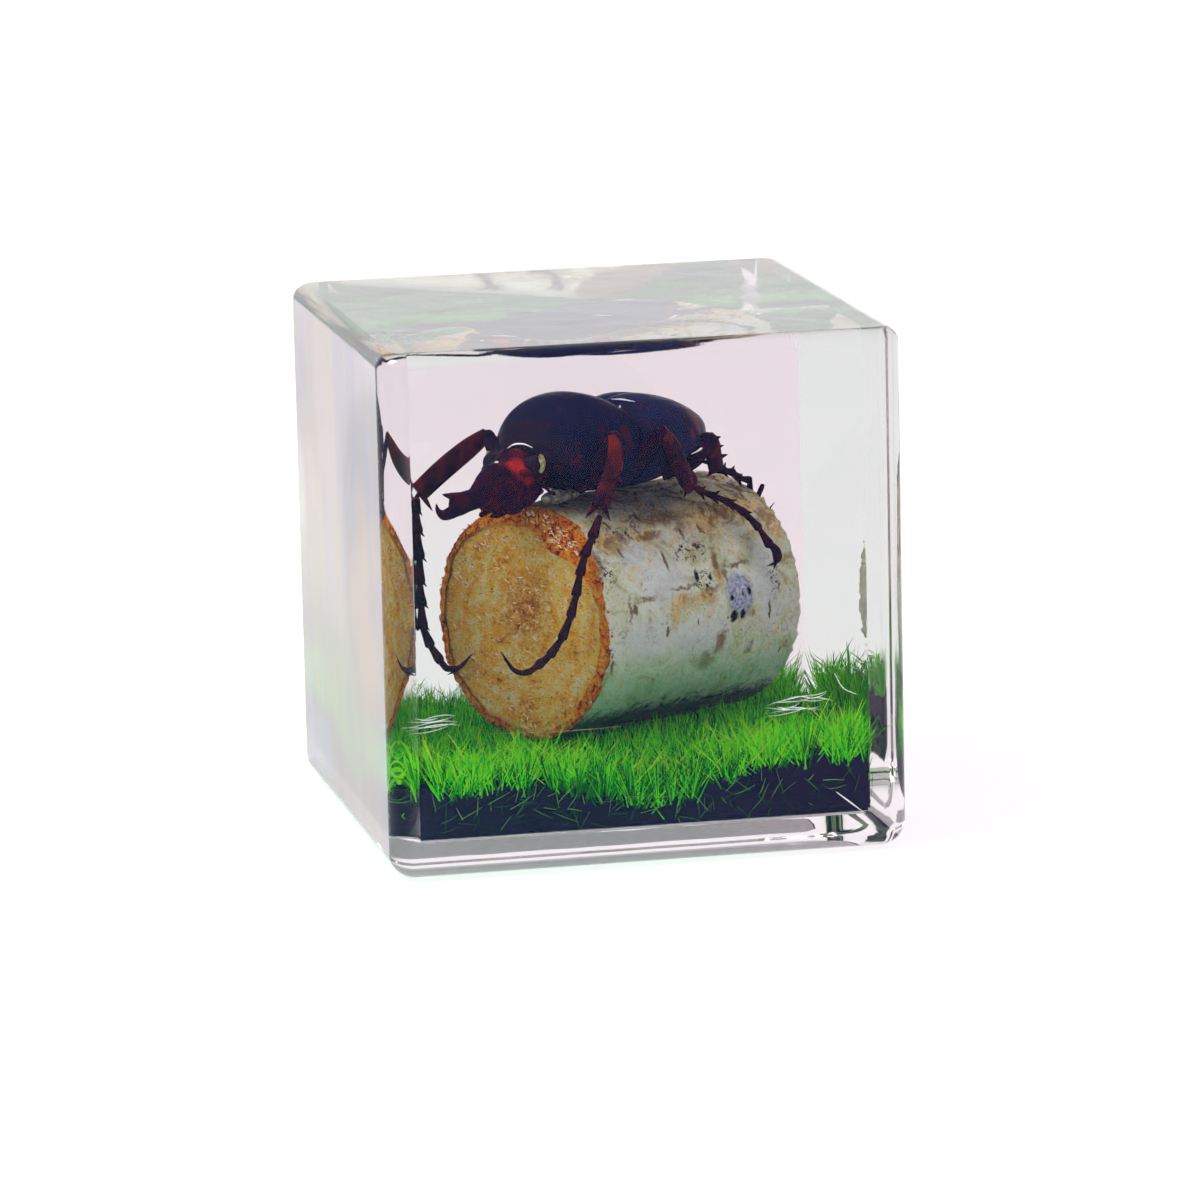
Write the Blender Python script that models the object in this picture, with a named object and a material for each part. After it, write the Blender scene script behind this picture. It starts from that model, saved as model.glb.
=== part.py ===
"""Cast resin display block for a mounted beetle: one clear, polished cube with rounded edges.

The upright and bottom edges have the mould's radius. The top is ground flat, so its edges are tighter.

Metres, +Z up. The origin is the centre of the face that the block stands on, and -Y is its front.
The beetle, its log and the turf are cast into the solid resin, so they leave no hollow in it.
"""

import math

import bmesh
import bpy

# Driving dimensions
BLOCK_SIDE = 0.075
EDGE_RADIUS = 0.0038
TOP_EDGE_RADIUS = 0.0024
EDGE_SEGMENTS = 8

# Polished clear casting resin
RESIN_COLOUR = (0.97, 0.965, 0.975, 1.0)
RESIN_IOR = 1.5
RESIN_ROUGHNESS = 0.02

# Edges that turn less than this between neighbouring faces are shaded round
SMOOTH_ANGLE = math.radians(20)


def clear_scene():
    for existing in list(bpy.data.objects):
        bpy.data.objects.remove(existing, do_unlink=True)


def resin_material():
    """Clear resin that passes light and bends it."""
    material = bpy.data.materials.new("clear_resin")
    material.use_nodes = True
    shader = material.node_tree.nodes["Principled BSDF"]
    shader.inputs["Base Color"].default_value = RESIN_COLOUR
    shader.inputs["Metallic"].default_value = 0.0
    shader.inputs["Roughness"].default_value = RESIN_ROUGHNESS
    shader.inputs["IOR"].default_value = RESIN_IOR
    shader.inputs["Transmission Weight"].default_value = 1.0
    return material


def edge_profile(side, bottom_radius, top_radius, segments):
    """Rows of (how far the wall stands in, height above the base), from the base to the top."""
    quarter = [math.pi / 2 * k / segments for k in range(segments + 1)]
    rows = [(bottom_radius * (1 - math.sin(a)), bottom_radius * (1 - math.cos(a))) for a in quarter]
    rows += [(top_radius * (1 - math.cos(a)), side - top_radius * (1 - math.sin(a))) for a in quarter]
    return rows


def rounded_square(half, radius, inset, segments):
    """Points round a square whose sides stand in by inset and whose corners are round."""
    points = []
    for corner in range(4):
        turn = math.pi / 2 * corner
        reach = (half - radius) * math.sqrt(2)
        centre_x = reach * math.cos(turn + math.pi / 4)
        centre_y = reach * math.sin(turn + math.pi / 4)
        for k in range(segments + 1):
            a = turn + math.pi / 2 * k / segments
            x = centre_x + (radius - inset) * math.cos(a)
            y = centre_y + (radius - inset) * math.sin(a)
            points.append((x, y))
    return points


def rounded_block_mesh(side, radius, top_radius, segments):
    """A closed cube around its own centre, with one radius on its top edges and another on the rest."""
    bm = bmesh.new()
    rings = []
    for inset, height in edge_profile(side, radius, top_radius, segments):
        outline = rounded_square(side / 2, radius, inset, segments)
        rings.append([bm.verts.new((x, y, height - side / 2)) for x, y in outline])
    for lower, upper in zip(rings, rings[1:]):
        for k in range(len(lower)):
            following = (k + 1) % len(lower)
            bm.faces.new((lower[k], lower[following], upper[following], upper[k]))
    bm.faces.new(rings[-1])
    bm.faces.new(reversed(rings[0]))
    # the corners of the base's flat face are sharp, so its ring's points meet there
    bmesh.ops.remove_doubles(bm, verts=bm.verts[:], dist=side * 1e-6)
    bmesh.ops.recalc_face_normals(bm, faces=bm.faces[:])
    mesh = bpy.data.meshes.new("resin_block")
    bm.to_mesh(mesh)
    bm.free()
    mesh.shade_smooth()
    mesh.set_sharp_from_angle(angle=SMOOTH_ANGLE)
    return mesh


def add_resin_block():
    """The cast block, standing on its base with the origin at the middle of that face."""
    mesh = rounded_block_mesh(BLOCK_SIDE, EDGE_RADIUS, TOP_EDGE_RADIUS, EDGE_SEGMENTS)
    mesh.materials.append(resin_material())
    block = bpy.data.objects.new("resin_block", mesh)
    block.location = (0.0, 0.0, BLOCK_SIDE / 2)
    bpy.context.scene.collection.objects.link(block)
    return block


def main():
    clear_scene()
    add_resin_block()


main()
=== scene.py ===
"""Looks of the insect in resin block: a horned beetle on a birch log above turf, cast in a clear cube.

Sizes are in millimetres, and MM turns them into Blender's metres. +Z is up and -Y is the block's front.
The log and the beetle are built in frames of their own: X runs along the log from its front cut to its
back, Y runs to the beetle's right, away from the viewer, and Z is up.
"""
import random
from math import copysign, cos, exp, hypot, pi, radians, sin, sqrt

import bmesh
import bpy
import numpy as np
from mathutils import Matrix, Vector, noise


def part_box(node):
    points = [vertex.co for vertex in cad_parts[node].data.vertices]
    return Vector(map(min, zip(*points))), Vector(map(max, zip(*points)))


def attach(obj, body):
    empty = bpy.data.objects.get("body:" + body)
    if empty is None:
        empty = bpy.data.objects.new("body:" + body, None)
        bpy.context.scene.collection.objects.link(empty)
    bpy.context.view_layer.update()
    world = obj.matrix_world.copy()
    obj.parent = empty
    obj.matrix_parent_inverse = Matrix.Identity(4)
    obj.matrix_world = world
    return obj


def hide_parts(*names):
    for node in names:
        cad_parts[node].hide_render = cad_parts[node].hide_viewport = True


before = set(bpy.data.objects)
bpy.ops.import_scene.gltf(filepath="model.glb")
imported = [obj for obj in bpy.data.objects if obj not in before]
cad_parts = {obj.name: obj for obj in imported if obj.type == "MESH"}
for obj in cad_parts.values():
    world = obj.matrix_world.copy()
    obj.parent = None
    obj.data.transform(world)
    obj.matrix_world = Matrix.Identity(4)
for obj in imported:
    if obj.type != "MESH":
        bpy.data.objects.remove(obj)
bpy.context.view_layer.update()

MM = 0.001
TAU = 2 * pi

# The block, from the frame
block_low, block_high = (np.array(corner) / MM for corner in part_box("resin_block"))
BLOCK_SIDE = float(block_high[0] - block_low[0])
HALF_SIDE = BLOCK_SIDE / 2
EDGE_RADIUS = 3.8
TOP_EDGE_RADIUS = 2.4
RESIN_INDEX = 1.5

# The log lies level across the block, turned so that its front cut looks to the front left
LOG_START = Vector((-14.4, -8.6, 32.55))
LOG_TURN = radians(39)
LOG_LENGTH = 41.5
LOG_RADIUS = 17.2

# The turf: a dark moulded slab with grass standing on it
TURF_HALF = 32.4
TURF_BOTTOM = 5.2
TURF_TOP = 11.6

# The turf's right side is worn almost bare from this depth to the back
BARE_FROM = -9.0
# Edges of the turf are counted from the front one, and this is the number of the right one
RIGHT = 1

# The scene was cast first in a smaller block, then clear resin was cast round it
INNER_HALF = 32.6
INNER_FRONT = 33.2
INNER_TOP = BLOCK_SIDE - 0.2
INNER_TURN = radians(-0.57)

# Indices of refraction against the resin that lies round a thing
INNER_INDEX = 1.025
SEALED_INDEX = 1.12

INNER_FRAME = Matrix.Rotation(INNER_TURN, 4, "Z")
LOG_FRAME = Matrix.Translation(LOG_START * MM) @ Matrix.Rotation(LOG_TURN, 4, "Z")
# The beetle's frame has its origin on the top of the log, at the front cut, a little to the near side
BEETLE_SHIFT = 0.95
BEETLE_FRAME = LOG_FRAME @ Matrix.Translation((0, -BEETLE_SHIFT * MM, LOG_RADIUS * MM))


# ---------------------------------------------------------------- mesh helpers

def link_object(name, data):
    """A new object in the scene."""
    made = bpy.data.objects.new(name, data)
    bpy.context.scene.collection.objects.link(made)
    return made


def add_piece(name, points, faces, material, place=None, smooth=True):
    """A mesh piece of the object, from points in millimetres in the frame `place`."""
    mesh = bpy.data.meshes.new(name)
    mesh.from_pydata((np.asarray(points, float) * MM).tolist(), [], faces)
    mesh.validate()
    mesh.materials.append(material)
    if smooth:
        mesh.shade_smooth()
    piece = link_object(name, mesh)
    if place is not None:
        piece.matrix_world = place
    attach(piece, "root")
    return piece


class Body:
    """Points and faces collected from several shapes."""

    def __init__(self):
        self.points = []
        self.faces = []

    def add(self, points, faces):
        start = len(self.points)
        self.points.extend(tuple(p) for p in points)
        self.faces.extend(tuple(start + i for i in face) for face in faces)

    def limb(self, *numbers):
        self.add(*sweep(*numbers))

    def ball(self, *numbers):
        self.add(*ball(*numbers))

    def spine(self, *numbers):
        self.add(*spine(*numbers))

    def loft(self, *numbers):
        self.add(*loft(*numbers))

    def piece(self, name, material, slot, place=None, smooth=True):
        return add_piece(name, self.points, self.faces, material, place, smooth)


def around(sides):
    """Angles of equal steps round a circle."""
    return [TAU * j / sides for j in range(sides)]


def on_circle(radius, angle):
    """y and z on a circle round X, with the angle from straight up."""
    return sin(angle) * radius, cos(angle) * radius


def clamp(value, reach):
    """The value, held between -reach and reach."""
    return max(-reach, min(reach, value))


def noise_at(x, y, z):
    """Smooth noise from about -1 to 1."""
    return noise.noise(Vector((x, y, z)))


def grid(across, down):
    """Faces between points that are numbered row by row, and the numbers in order round the border."""
    wide = across + 1
    faces = []
    for j in range(down):
        for i in range(across):
            a = j * wide + i
            faces.append((a, a + 1, a + wide + 1, a + wide))
    rim = list(range(wide)) + [j * wide + across for j in range(1, down + 1)]
    rim += [down * wide + i for i in range(across - 1, -1, -1)]
    rim += [j * wide for j in range(down - 1, 0, -1)]
    return faces, rim


def smooth_path(points, steps):
    """A Catmull-Rom curve through rows of numbers, with `steps` parts between neighbours."""
    rows = np.array(points, float)
    ends = np.vstack([2 * rows[0] - rows[1], rows, 2 * rows[-1] - rows[-2]])
    made = []
    for i in range(1, len(ends) - 2):
        before, here, there, after = ends[i - 1:i + 3]
        for k in range(steps):
            u = k / steps
            slope = (there - before) * u
            bend = (2 * before - 5 * here + 4 * there - after) * u * u
            twist = (3 * here - before - 3 * there + after) * u ** 3
            made.append(0.5 * (2 * here + slope + bend + twist))
    made.append(rows[-1])
    return np.array(made)


def ring_faces(rings, sides, capped=True):
    """Faces between successive rings of `sides` points, with both ends closed."""
    faces = []
    for i in range(rings - 1):
        for j in range(sides):
            k = (j + 1) % sides
            faces.append((i * sides + j, i * sides + k, (i + 1) * sides + k, (i + 1) * sides + j))
    if capped:
        faces.append(tuple(reversed(range(sides))))
        faces.append(tuple((rings - 1) * sides + j for j in range(sides)))
    return faces


def sweep(path, sides=10, steps=4, flat_dir=(0, 0, 1)):
    """A limb along rows of (x, y, z, half width, half thickness). The thickness lies towards flat_dir."""
    rows = smooth_path(path, steps)
    centres = rows[:, :3]
    tangents = np.gradient(centres, axis=0)
    up = np.array(flat_dir, float)
    points = []
    for centre, tangent, row in zip(centres, tangents, rows):
        tangent = tangent / max(np.linalg.norm(tangent), 1e-9)
        thin = up - tangent * (up @ tangent)
        thin = thin / max(np.linalg.norm(thin), 1e-9)
        wide = np.cross(tangent, thin)
        for a in around(sides):
            points.append(centre + wide * cos(a) * max(row[3], 0.01) + thin * sin(a) * max(row[4], 0.01))
    return points, ring_faces(len(rows), sides)


def spine(base, tip, radius, sides=6):
    """A sharp cone from base to tip."""
    base, tip = np.array(base, float), np.array(tip, float)
    middle = base + 0.55 * (tip - base)
    path = [(*base, radius, radius), (*middle, 0.62 * radius, 0.62 * radius), (*tip, 0.03, 0.03)]
    return sweep(path, sides, 2, (0.3, 0.5, 0.8))


def power(value, exponent):
    """The size of the value to a power, with the value's sign."""
    return copysign(abs(value) ** exponent, value)


def loft(stations, sides=64, steps=6, roundness=2.3):
    """A closed body from rows of (x, half width, top, rim height, bottom), left and right alike."""
    rows = smooth_path(stations, steps)
    points = []
    for x, width, top, rim, bottom in rows:
        for a in around(sides):
            side, rise = power(cos(a), 2 / roundness), power(sin(a), 2 / roundness)
            height = (top - rim) if rise > 0 else (rim - bottom)
            points.append((x, width * side, rim + height * rise))
    return points, ring_faces(len(rows), sides)


def ball(centre, radii, rings=14, sides=24):
    """An ellipsoid."""
    points = []
    for i in range(1, rings):
        a = pi * i / rings
        for b in around(sides):
            points.append((sin(a) * cos(b), sin(a) * sin(b), cos(a)))
    points = np.array(points) * np.array(radii)
    return points + np.array(centre), [f[::-1] for f in ring_faces(rings - 1, sides)]


# ------------------------------------------------------------ material helpers

class Field:
    """A socket of a node tree. Sums, differences, products and powers of it are Math nodes."""

    def __init__(self, finish, socket):
        self.finish = finish
        self.socket = socket

    def __add__(self, other):
        return self.finish.math("ADD", self, other)

    def __sub__(self, other):
        return self.finish.math("SUBTRACT", self, other)

    def __rsub__(self, other):
        return self.finish.math("SUBTRACT", other, self)

    def __mul__(self, other):
        return self.finish.math("MULTIPLY", self, other)

    def __pow__(self, other):
        return self.finish.math("POWER", self, other)

    def __abs__(self):
        return self.finish.math("ABSOLUTE", self)


class Finish:
    """A material whose node tree is written with short calls. Values may be numbers, colours or fields."""

    def __init__(self, name):
        self.material = bpy.data.materials.new(name)
        self.material.use_nodes = True
        self.tree = self.material.node_tree
        self.shader = self.tree.nodes["Principled BSDF"]
        where = self.add("ShaderNodeTexCoord")
        sized = self.add("ShaderNodeVectorMath", operation="SCALE")
        self.tree.links.new(where.outputs["Object"], sized.inputs[0])
        self.dial(sized, Scale=1.0 / MM)
        self.place = Field(self, sized.outputs[0])
        self.set(IOR=SEALED_INDEX)

    def add(self, kind, **settings):
        node = self.tree.nodes.new(kind)
        for key, value in settings.items():
            setattr(node, key, value)
        return node

    def dial(self, node, **values):
        for key, value in values.items():
            node.inputs[key].default_value = value

    def put(self, socket, value):
        if isinstance(value, Field):
            self.tree.links.new(value.socket, socket)
        elif isinstance(value, (tuple, list)) and len(value) == 3 and socket.type == "RGBA":
            socket.default_value = (*value, 1.0)
        else:
            socket.default_value = value

    def made(self, node, values, output=0):
        """A node's output, once its first inputs have these values."""
        for socket, value in zip(node.inputs, values):
            self.put(socket, value)
        return Field(self, node.outputs[output])

    def set(self, **values):
        """Shader inputs by name, with _ for a space."""
        for key, value in values.items():
            self.put(self.shader.inputs[key.replace("_", " ")], value)

    def vector(self, operation, first, second, output=0):
        return self.made(self.add("ShaderNodeVectorMath", operation=operation), (first, second), output)

    def stretch(self, x, y, z, vector=None):
        return self.vector("MULTIPLY", vector or self.place, (x, y, z))

    def noise(self, scale, detail=4.0, rough=0.55, twist=0.0, vector=None):
        node = self.add("ShaderNodeTexNoise")
        self.dial(node, Scale=scale, Detail=detail, Roughness=rough, Distortion=twist)
        return self.made(node, (vector or self.place,), "Fac")

    def cells(self, scale, vector=None):
        node = self.add("ShaderNodeTexVoronoi")
        self.dial(node, Scale=scale)
        return self.made(node, (vector or self.place,), "Distance")

    def part(self, axis, vector=None):
        return self.made(self.add("ShaderNodeSeparateXYZ"), (vector or self.place,), axis)

    def join(self, x, y, z=0.0):
        return self.made(self.add("ShaderNodeCombineXYZ"), (x, y, z))

    def math(self, operation, first, second=0.0):
        return self.made(self.add("ShaderNodeMath", operation=operation), (first, second))

    def larger(self, first, second):
        return self.math("MAXIMUM", first, second)

    def span(self, value, low, high, out_low=0.0, out_high=1.0):
        """value's stretch from low to high, taken to out_low to out_high and held there."""
        node = self.add("ShaderNodeMapRange", interpolation_type="SMOOTHSTEP")
        return self.made(node, (value, low, high, out_low, out_high))

    def ramp(self, value, *stops):
        node = self.add("ShaderNodeValToRGB")
        points = node.color_ramp.elements
        while len(points) < len(stops):
            points.new(0.5)
        for point, (place, colour) in zip(points, stops):
            point.position = place
            point.color = (*colour, 1.0)
        return self.made(node, (value,))

    def mix(self, share, first, second):
        node = self.add("ShaderNodeMix", data_type="RGBA")
        self.put(node.inputs["Factor"], share)
        self.put(node.inputs[6], first)
        self.put(node.inputs[7], second)
        return Field(self, node.outputs[2])

    def blots(self, place, rows, soft=0.3):
        """1 inside any ellipse of the rows (x, y, half width, half height), and 0 outside, soft edged."""
        total = 0.0
        for x, y, wide, tall in rows:
            away = self.vector("SUBTRACT", place, (x, y, 0.0))
            length = self.vector("LENGTH", self.stretch(1 / wide, 1 / tall, 0.0, away), (0, 0, 0), "Value")
            total = self.larger(self.span(length, 1 + soft, 1 - soft), total)
        return total

    def near(self, place, size):
        """1 at a place of the piece, falling to 0 at `size` mm away from it."""
        return self.span(self.vector("DISTANCE", self.place, place, "Value"), size, 0.25 * size)

    def bump(self, height, strength, depth_mm):
        node = self.add("ShaderNodeBump")
        self.put(node.inputs["Height"], height)
        self.dial(node, Strength=strength, Distance=depth_mm * MM)
        self.put(self.shader.inputs["Normal"], Field(self, node.outputs[0]))


def resin_finish():
    """Clear cast resin, hand polished, with a matt left side and fine strokes along the top edges; on the
    matt side, a painted dark reflection and painted highlights.
    """
    f = Finish("clear_resin")
    height = f.part("Z")
    matt = f.span(f.part("X"), 0.06 - HALF_SIDE, 0.01 - HALF_SIDE)
    top = f.span(height, BLOCK_SIDE - 0.03, BLOCK_SIDE - 0.01)
    bands = f.noise(0.1, 3.0, 0.6, 0.4, f.stretch(1.0, 1.0, 0.12))
    bands = f.ramp(bands, (0.35, (0.68, 0.62, 0.82)), (0.5, (0.8, 0.66, 0.72)), (0.65, (0.84, 0.7, 0.67)))
    tint = f.mix(matt, (1.0, 1.0, 1.0), bands)
    wall = f.join(f.part("Y"), height)
    # painted shade: a grey-blue painted reflection of the log and beetle on the matt side
    shadow = matt * f.blots(wall, [(-13.0, 54.0, 11.0, 12.0)], 0.5)
    tint = f.mix(shadow * 0.4, tint, (0.42, 0.42, 0.56))
    # painted highlights: pale blots on the matt side
    shine = matt * f.blots(wall, [(19.0, 9.0, 9.0, 4.5), (33.0, 45.0, 4.0, 9.0)], 0.5)
    tint = f.mix(shine * 0.5, tint, (0.9, 0.9, 1.0))
    rough = matt * 0.3 + top * 0.06
    f.set(Base_Color=tint, Roughness=rough, IOR=RESIN_INDEX, Transmission_Weight=1.0 - matt * 0.3)
    waves = f.noise(0.06, 2.0, 0.5)
    ripples = f.noise(0.09, 2.0, 0.5, 0.5) * (top * 1.4)
    strokes = f.noise(2.6, 3.0, 0.7, 0.0, f.stretch(1.0, 1.0, 0.05))
    above = f.span(height, BLOCK_SIDE - TOP_EDGE_RADIUS, BLOCK_SIDE - 2.1)
    band = above * f.span(height, BLOCK_SIDE - 0.05, BLOCK_SIDE - 0.3)
    f.bump(waves + ripples + strokes * band * 0.2, 0.24, 0.4)
    soak = f.add("ShaderNodeVolumeAbsorption")
    f.dial(soak, Color=(0.63, 0.57, 0.6, 1.0), Density=12.5)
    out = f.tree.nodes["Material Output"]
    f.tree.links.new(soak.outputs[0], out.inputs["Volume"])
    return f.material


def inner_resin_finish():
    """The first casting. Its index is a little over that of the resin round it, so this is their ratio."""
    f = Finish("inner_resin")
    f.set(Base_Color=(1.0, 1.0, 1.0), Roughness=0.0, IOR=INNER_INDEX, Transmission_Weight=1.0)
    f.bump(f.noise(0.04, 1.0, 0.5), 0.05, 0.2)
    return f.material


def underlay_finish():
    """Pale latex on the underside of the turf."""
    f = Finish("turf_underlay")
    grain = f.noise(0.8, 4.0, 0.6, 0.4)
    f.set(Base_Color=f.ramp(grain, (0.35, (0.7, 0.68, 0.7)), (0.65, (0.9, 0.88, 0.9))), Roughness=0.6)
    f.bump(grain, 0.5, 0.2)
    return f.material


def turf_finish():
    """Dark navy backing with dull fibres matted into it."""
    f = Finish("turf_backing")
    streaks = f.noise(0.9, 6.0, 0.7, 0.6, f.stretch(0.35, 0.35, 2.2))
    grain = f.noise(3.5, 3.0, 0.6)
    colour = f.ramp(streaks, (0.35, (0.011, 0.01, 0.034)), (0.6, (0.018, 0.017, 0.058)),
        (0.8, (0.03, 0.038, 0.08)))
    colour = f.mix(f.span(grain, 0.62, 0.8, 0.0, 0.35), colour, (0.03, 0.06, 0.05))
    f.set(Base_Color=colour, Roughness=f.span(grain, 0.3, 0.7, 0.5, 0.8))
    f.bump(streaks, 0.7, 0.5)
    return f.material


def grass_finish(name, dark, middle, bright, low, high):
    """Dyed flock that differs from fibre to fibre, with painted shade dark at the foot and painted light
    bright at the tip.
    """
    f = Finish(name)
    height = f.span(f.part("Z"), low, high)
    each = f.made(f.add("ShaderNodeNewGeometry"), (), "Random Per Island")
    blades = f.noise(1.3, 2.0, 0.6)
    patches = f.noise(0.11, 3.0, 0.6)
    # height adds painted shade at the foot of each fibre and painted light at its tip
    shade = height * 0.6 + (each - 0.45) * 1.1
    shade = shade + (patches - 0.42) * 0.8
    colour = f.ramp(shade, (0.05, dark), (0.42, middle), (0.85, bright))
    f.set(Base_Color=colour, Roughness=f.span(blades, 0.3, 0.7, 0.38, 0.6), Specular_IOR_Level=0.12)
    return f.material


def wood_finish():
    """Sawn birch end grain, soaked golden by the resin: faint rings, torn fibres, pale flecks painted as
    glints, and a brown heart.
    """
    f = Finish("birch_wood")
    y, z = f.part("Y"), f.part("Z")
    wobble = f.noise(0.1, 4.0, 0.6)
    across = f.math("SQRT", (y + 0.8) ** 2.0 + (z - 1.2) ** 2.0)
    across = across + (wobble - 0.5) * 9.0
    rings = f.math("SINE", across * 1.9)
    fibres = f.noise(0.9, 7.0, 0.78, 0.7)
    cloud = f.noise(0.2, 4.0, 0.6, 0.4)
    flecks = f.noise(1.7, 4.0, 0.7, 1.6, f.stretch(1.0, 0.8, 1.5))
    tone = rings * 0.035 + (fibres * 0.6 + cloud * 0.4)
    colour = f.ramp(tone, (0.34, (0.4, 0.14, 0.004)), (0.43, (1.0, 0.49, 0.022)), (0.52, (1.0, 0.69, 0.09)),
                    (0.64, (1.0, 0.9, 0.4)))
    heart = f.span(across, 1.5, 7.0, 0.95, 0.0)
    colour = f.mix(heart, colour, f.ramp(fibres, (0.37, (0.2, 0.045, 0.001)), (0.48, (0.7, 0.27, 0.01)),
                                         (0.6, (1.0, 0.6, 0.09))))
    # pale flecks: painted glints of light on the end grain; the dark flecks below are the wood's own
    colour = f.mix(f.span(flecks, 0.57, 0.64, 0.0, 0.9), colour, (1.0, 0.92, 0.72))
    colour = f.mix(f.span(flecks, 0.44, 0.34, 0.0, 0.9), colour, (0.3, 0.09, 0.004))
    weathered = f.span(f.part("X"), LOG_LENGTH - 1.5, LOG_LENGTH - 1.0, 0.0, 0.75)
    colour = f.mix(weathered, colour, f.ramp(fibres, (0.35, (0.12, 0.09, 0.07)), (0.65, (0.42, 0.33, 0.26))))
    f.set(Base_Color=colour, Roughness=f.span(fibres, 0.3, 0.7, 0.35, 0.65), Specular_IOR_Level=0.25)
    f.bump(fibres + flecks * 0.8, 1.0, 0.45)
    return f.material


def painted_glint_fibre_finish():
    """Pale cream wood fibre with a wet shine and a faint orange glow of its own, painted light."""
    f = Finish("painted_glint_fibre")
    grain = f.noise(1.2, 3.0, 0.6)
    f.set(Base_Color=f.ramp(grain, (0.35, (1.0, 0.78, 0.36)), (0.6, (1.0, 0.95, 0.74))),
          Roughness=f.span(grain, 0.3, 0.7, 0.2, 0.5), IOR=1.4)
    # a faint orange glow of its own: painted light
    f.set(Emission_Color=(1.0, 0.66, 0.28), Emission_Strength=0.1)
    return f.material


def inner_bark_finish():
    """Torn inner bark, wet-looking in the resin: orange to red-brown, with pale flecks painted as glints."""
    f = Finish("inner_bark")
    torn = f.noise(0.7, 7.0, 0.75, 1.5)
    spots = f.noise(1.9, 4.0, 0.7)
    colour = f.ramp(torn, (0.37, (0.09, 0.009, 0.001)), (0.46, (0.85, 0.16, 0.001)),
        (0.55, (1.0, 0.42, 0.006)), (0.66, (1.0, 0.74, 0.22)))
    # pale flecks: painted glints; the dark flecks below are the bark's own
    colour = f.mix(f.span(spots, 0.64, 0.72, 0.0, 0.7), colour, (1.0, 0.78, 0.36))
    colour = f.mix(f.span(spots, 0.38, 0.28, 0.0, 0.8), colour, (0.08, 0.012, 0.001))
    f.set(Base_Color=colour, Roughness=f.span(torn, 0.3, 0.7, 0.25, 0.6), Specular_IOR_Level=0.3)
    f.bump(torn, 1.0, 0.9)
    return f.material


def bark_skin(f):
    """A place on the bark: mm along the log, and mm round it from its top line."""
    x, y, z = f.part("X"), f.part("Y"), f.part("Z")
    return f.join(x, f.math("ARCTAN2", y * -1.0, z) * LOG_RADIUS)


def frayed(f, skin, amount, scale):
    """The same place, pulled about by noise."""
    pulls = []
    for k in range(2):
        pulls.append((f.noise(scale, 5.0, 0.65, 0.0, f.stretch(1.0, 1.0, 1.0 + k, skin)) - 0.5) * amount)
    return f.join(f.part("X", skin) + pulls[0], f.part("Y", skin) + pulls[1] * -1.0)


# marks on the bark, each as mm along the log, mm round it, half length and half height
SMOOTH_SKIN = [(13.0, 21.3, 5.5, 4.2), (8.9, 16.3, 2.8, 2.2), (19.6, 31.0, 5.5, 3.0),
    (34.5, 24.0, 2.6, 6.0), (8.0, 30.0, 5.0, 3.0)]
GOLD = [(27.0, 12.2, 4.6, 2.4), (36.0, 11.0, 4.0, 2.2), (5.4, 13.9, 3.2, 1.9), (12.5, 13.5, 3.6, 1.0),
    (39.5, 15.5, 1.6, 3.2), (21.4, 25.0, 2.2, 0.9), (16.0, 25.0, 1.9, 1.2), (14.4, 26.4, 0.8, 2.2),
    (24.8, 21.5, 0.7, 2.2)]
BROWN = [(18.7, 10.9, 5.2, 1.5), (14.0, 13.9, 2.4, 0.8), (24.9, 20.1, 0.6, 2.0), (22.6, 24.0, 1.6, 0.5),
    (29.0, 21.0, 2.4, 0.4), (26.0, 22.4, 0.5, 1.8), (24.3, 32.5, 0.9, 1.8), (30.9, 34.1, 0.6, 0.8),
    (22.3, 35.0, 1.6, 1.6), (8.8, 23.8, 1.8, 0.35), (5.4, 24.8, 0.4, 1.7), (17.5, 22.8, 3.0, 0.35),
    (1.0, 17.0, 1.2, 2.4)]
SPOTS = [(20.6, 17.5, 3.6, 2.1), (22.0, 22.4, 2.7, 1.8), (36.2, 24.3, 1.7, 2.4), (2.0, 19.0, 1.8, 2.8),
    (9.5, 12.6, 2.6, 1.2)]
BLACK = [(30.0, 25.2, 0.55, 0.6), (28.6, 28.4, 0.55, 0.8), (26.8, 28.6, 0.7, 0.9),
    (26.4, 25.8, 0.4, 0.4), (20.2, 21.6, 0.45, 1.0), (21.8, 23.4, 0.5, 0.35), (23.0, 22.2, 0.35, 0.5)]
DASHES = [(6.7, 16.0, 0.26, 1.0), (14.8, 18.5, 0.3, 1.6), (6.3, 25.0, 0.42, 0.9),
    (12.7, 29.1, 0.32, 0.8), (1.6, 33.2, 0.3, 1.1), (20.7, 14.3, 0.22, 0.9), (14.5, 10.1, 0.22, 0.9),
    (24.6, 14.1, 0.22, 0.8), (34.6, 28.6, 0.22, 1.4), (7.8, 10.7, 0.24, 0.9)]
KNOT = [(28.4, 25.4, 2.7, 3.3)]


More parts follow.
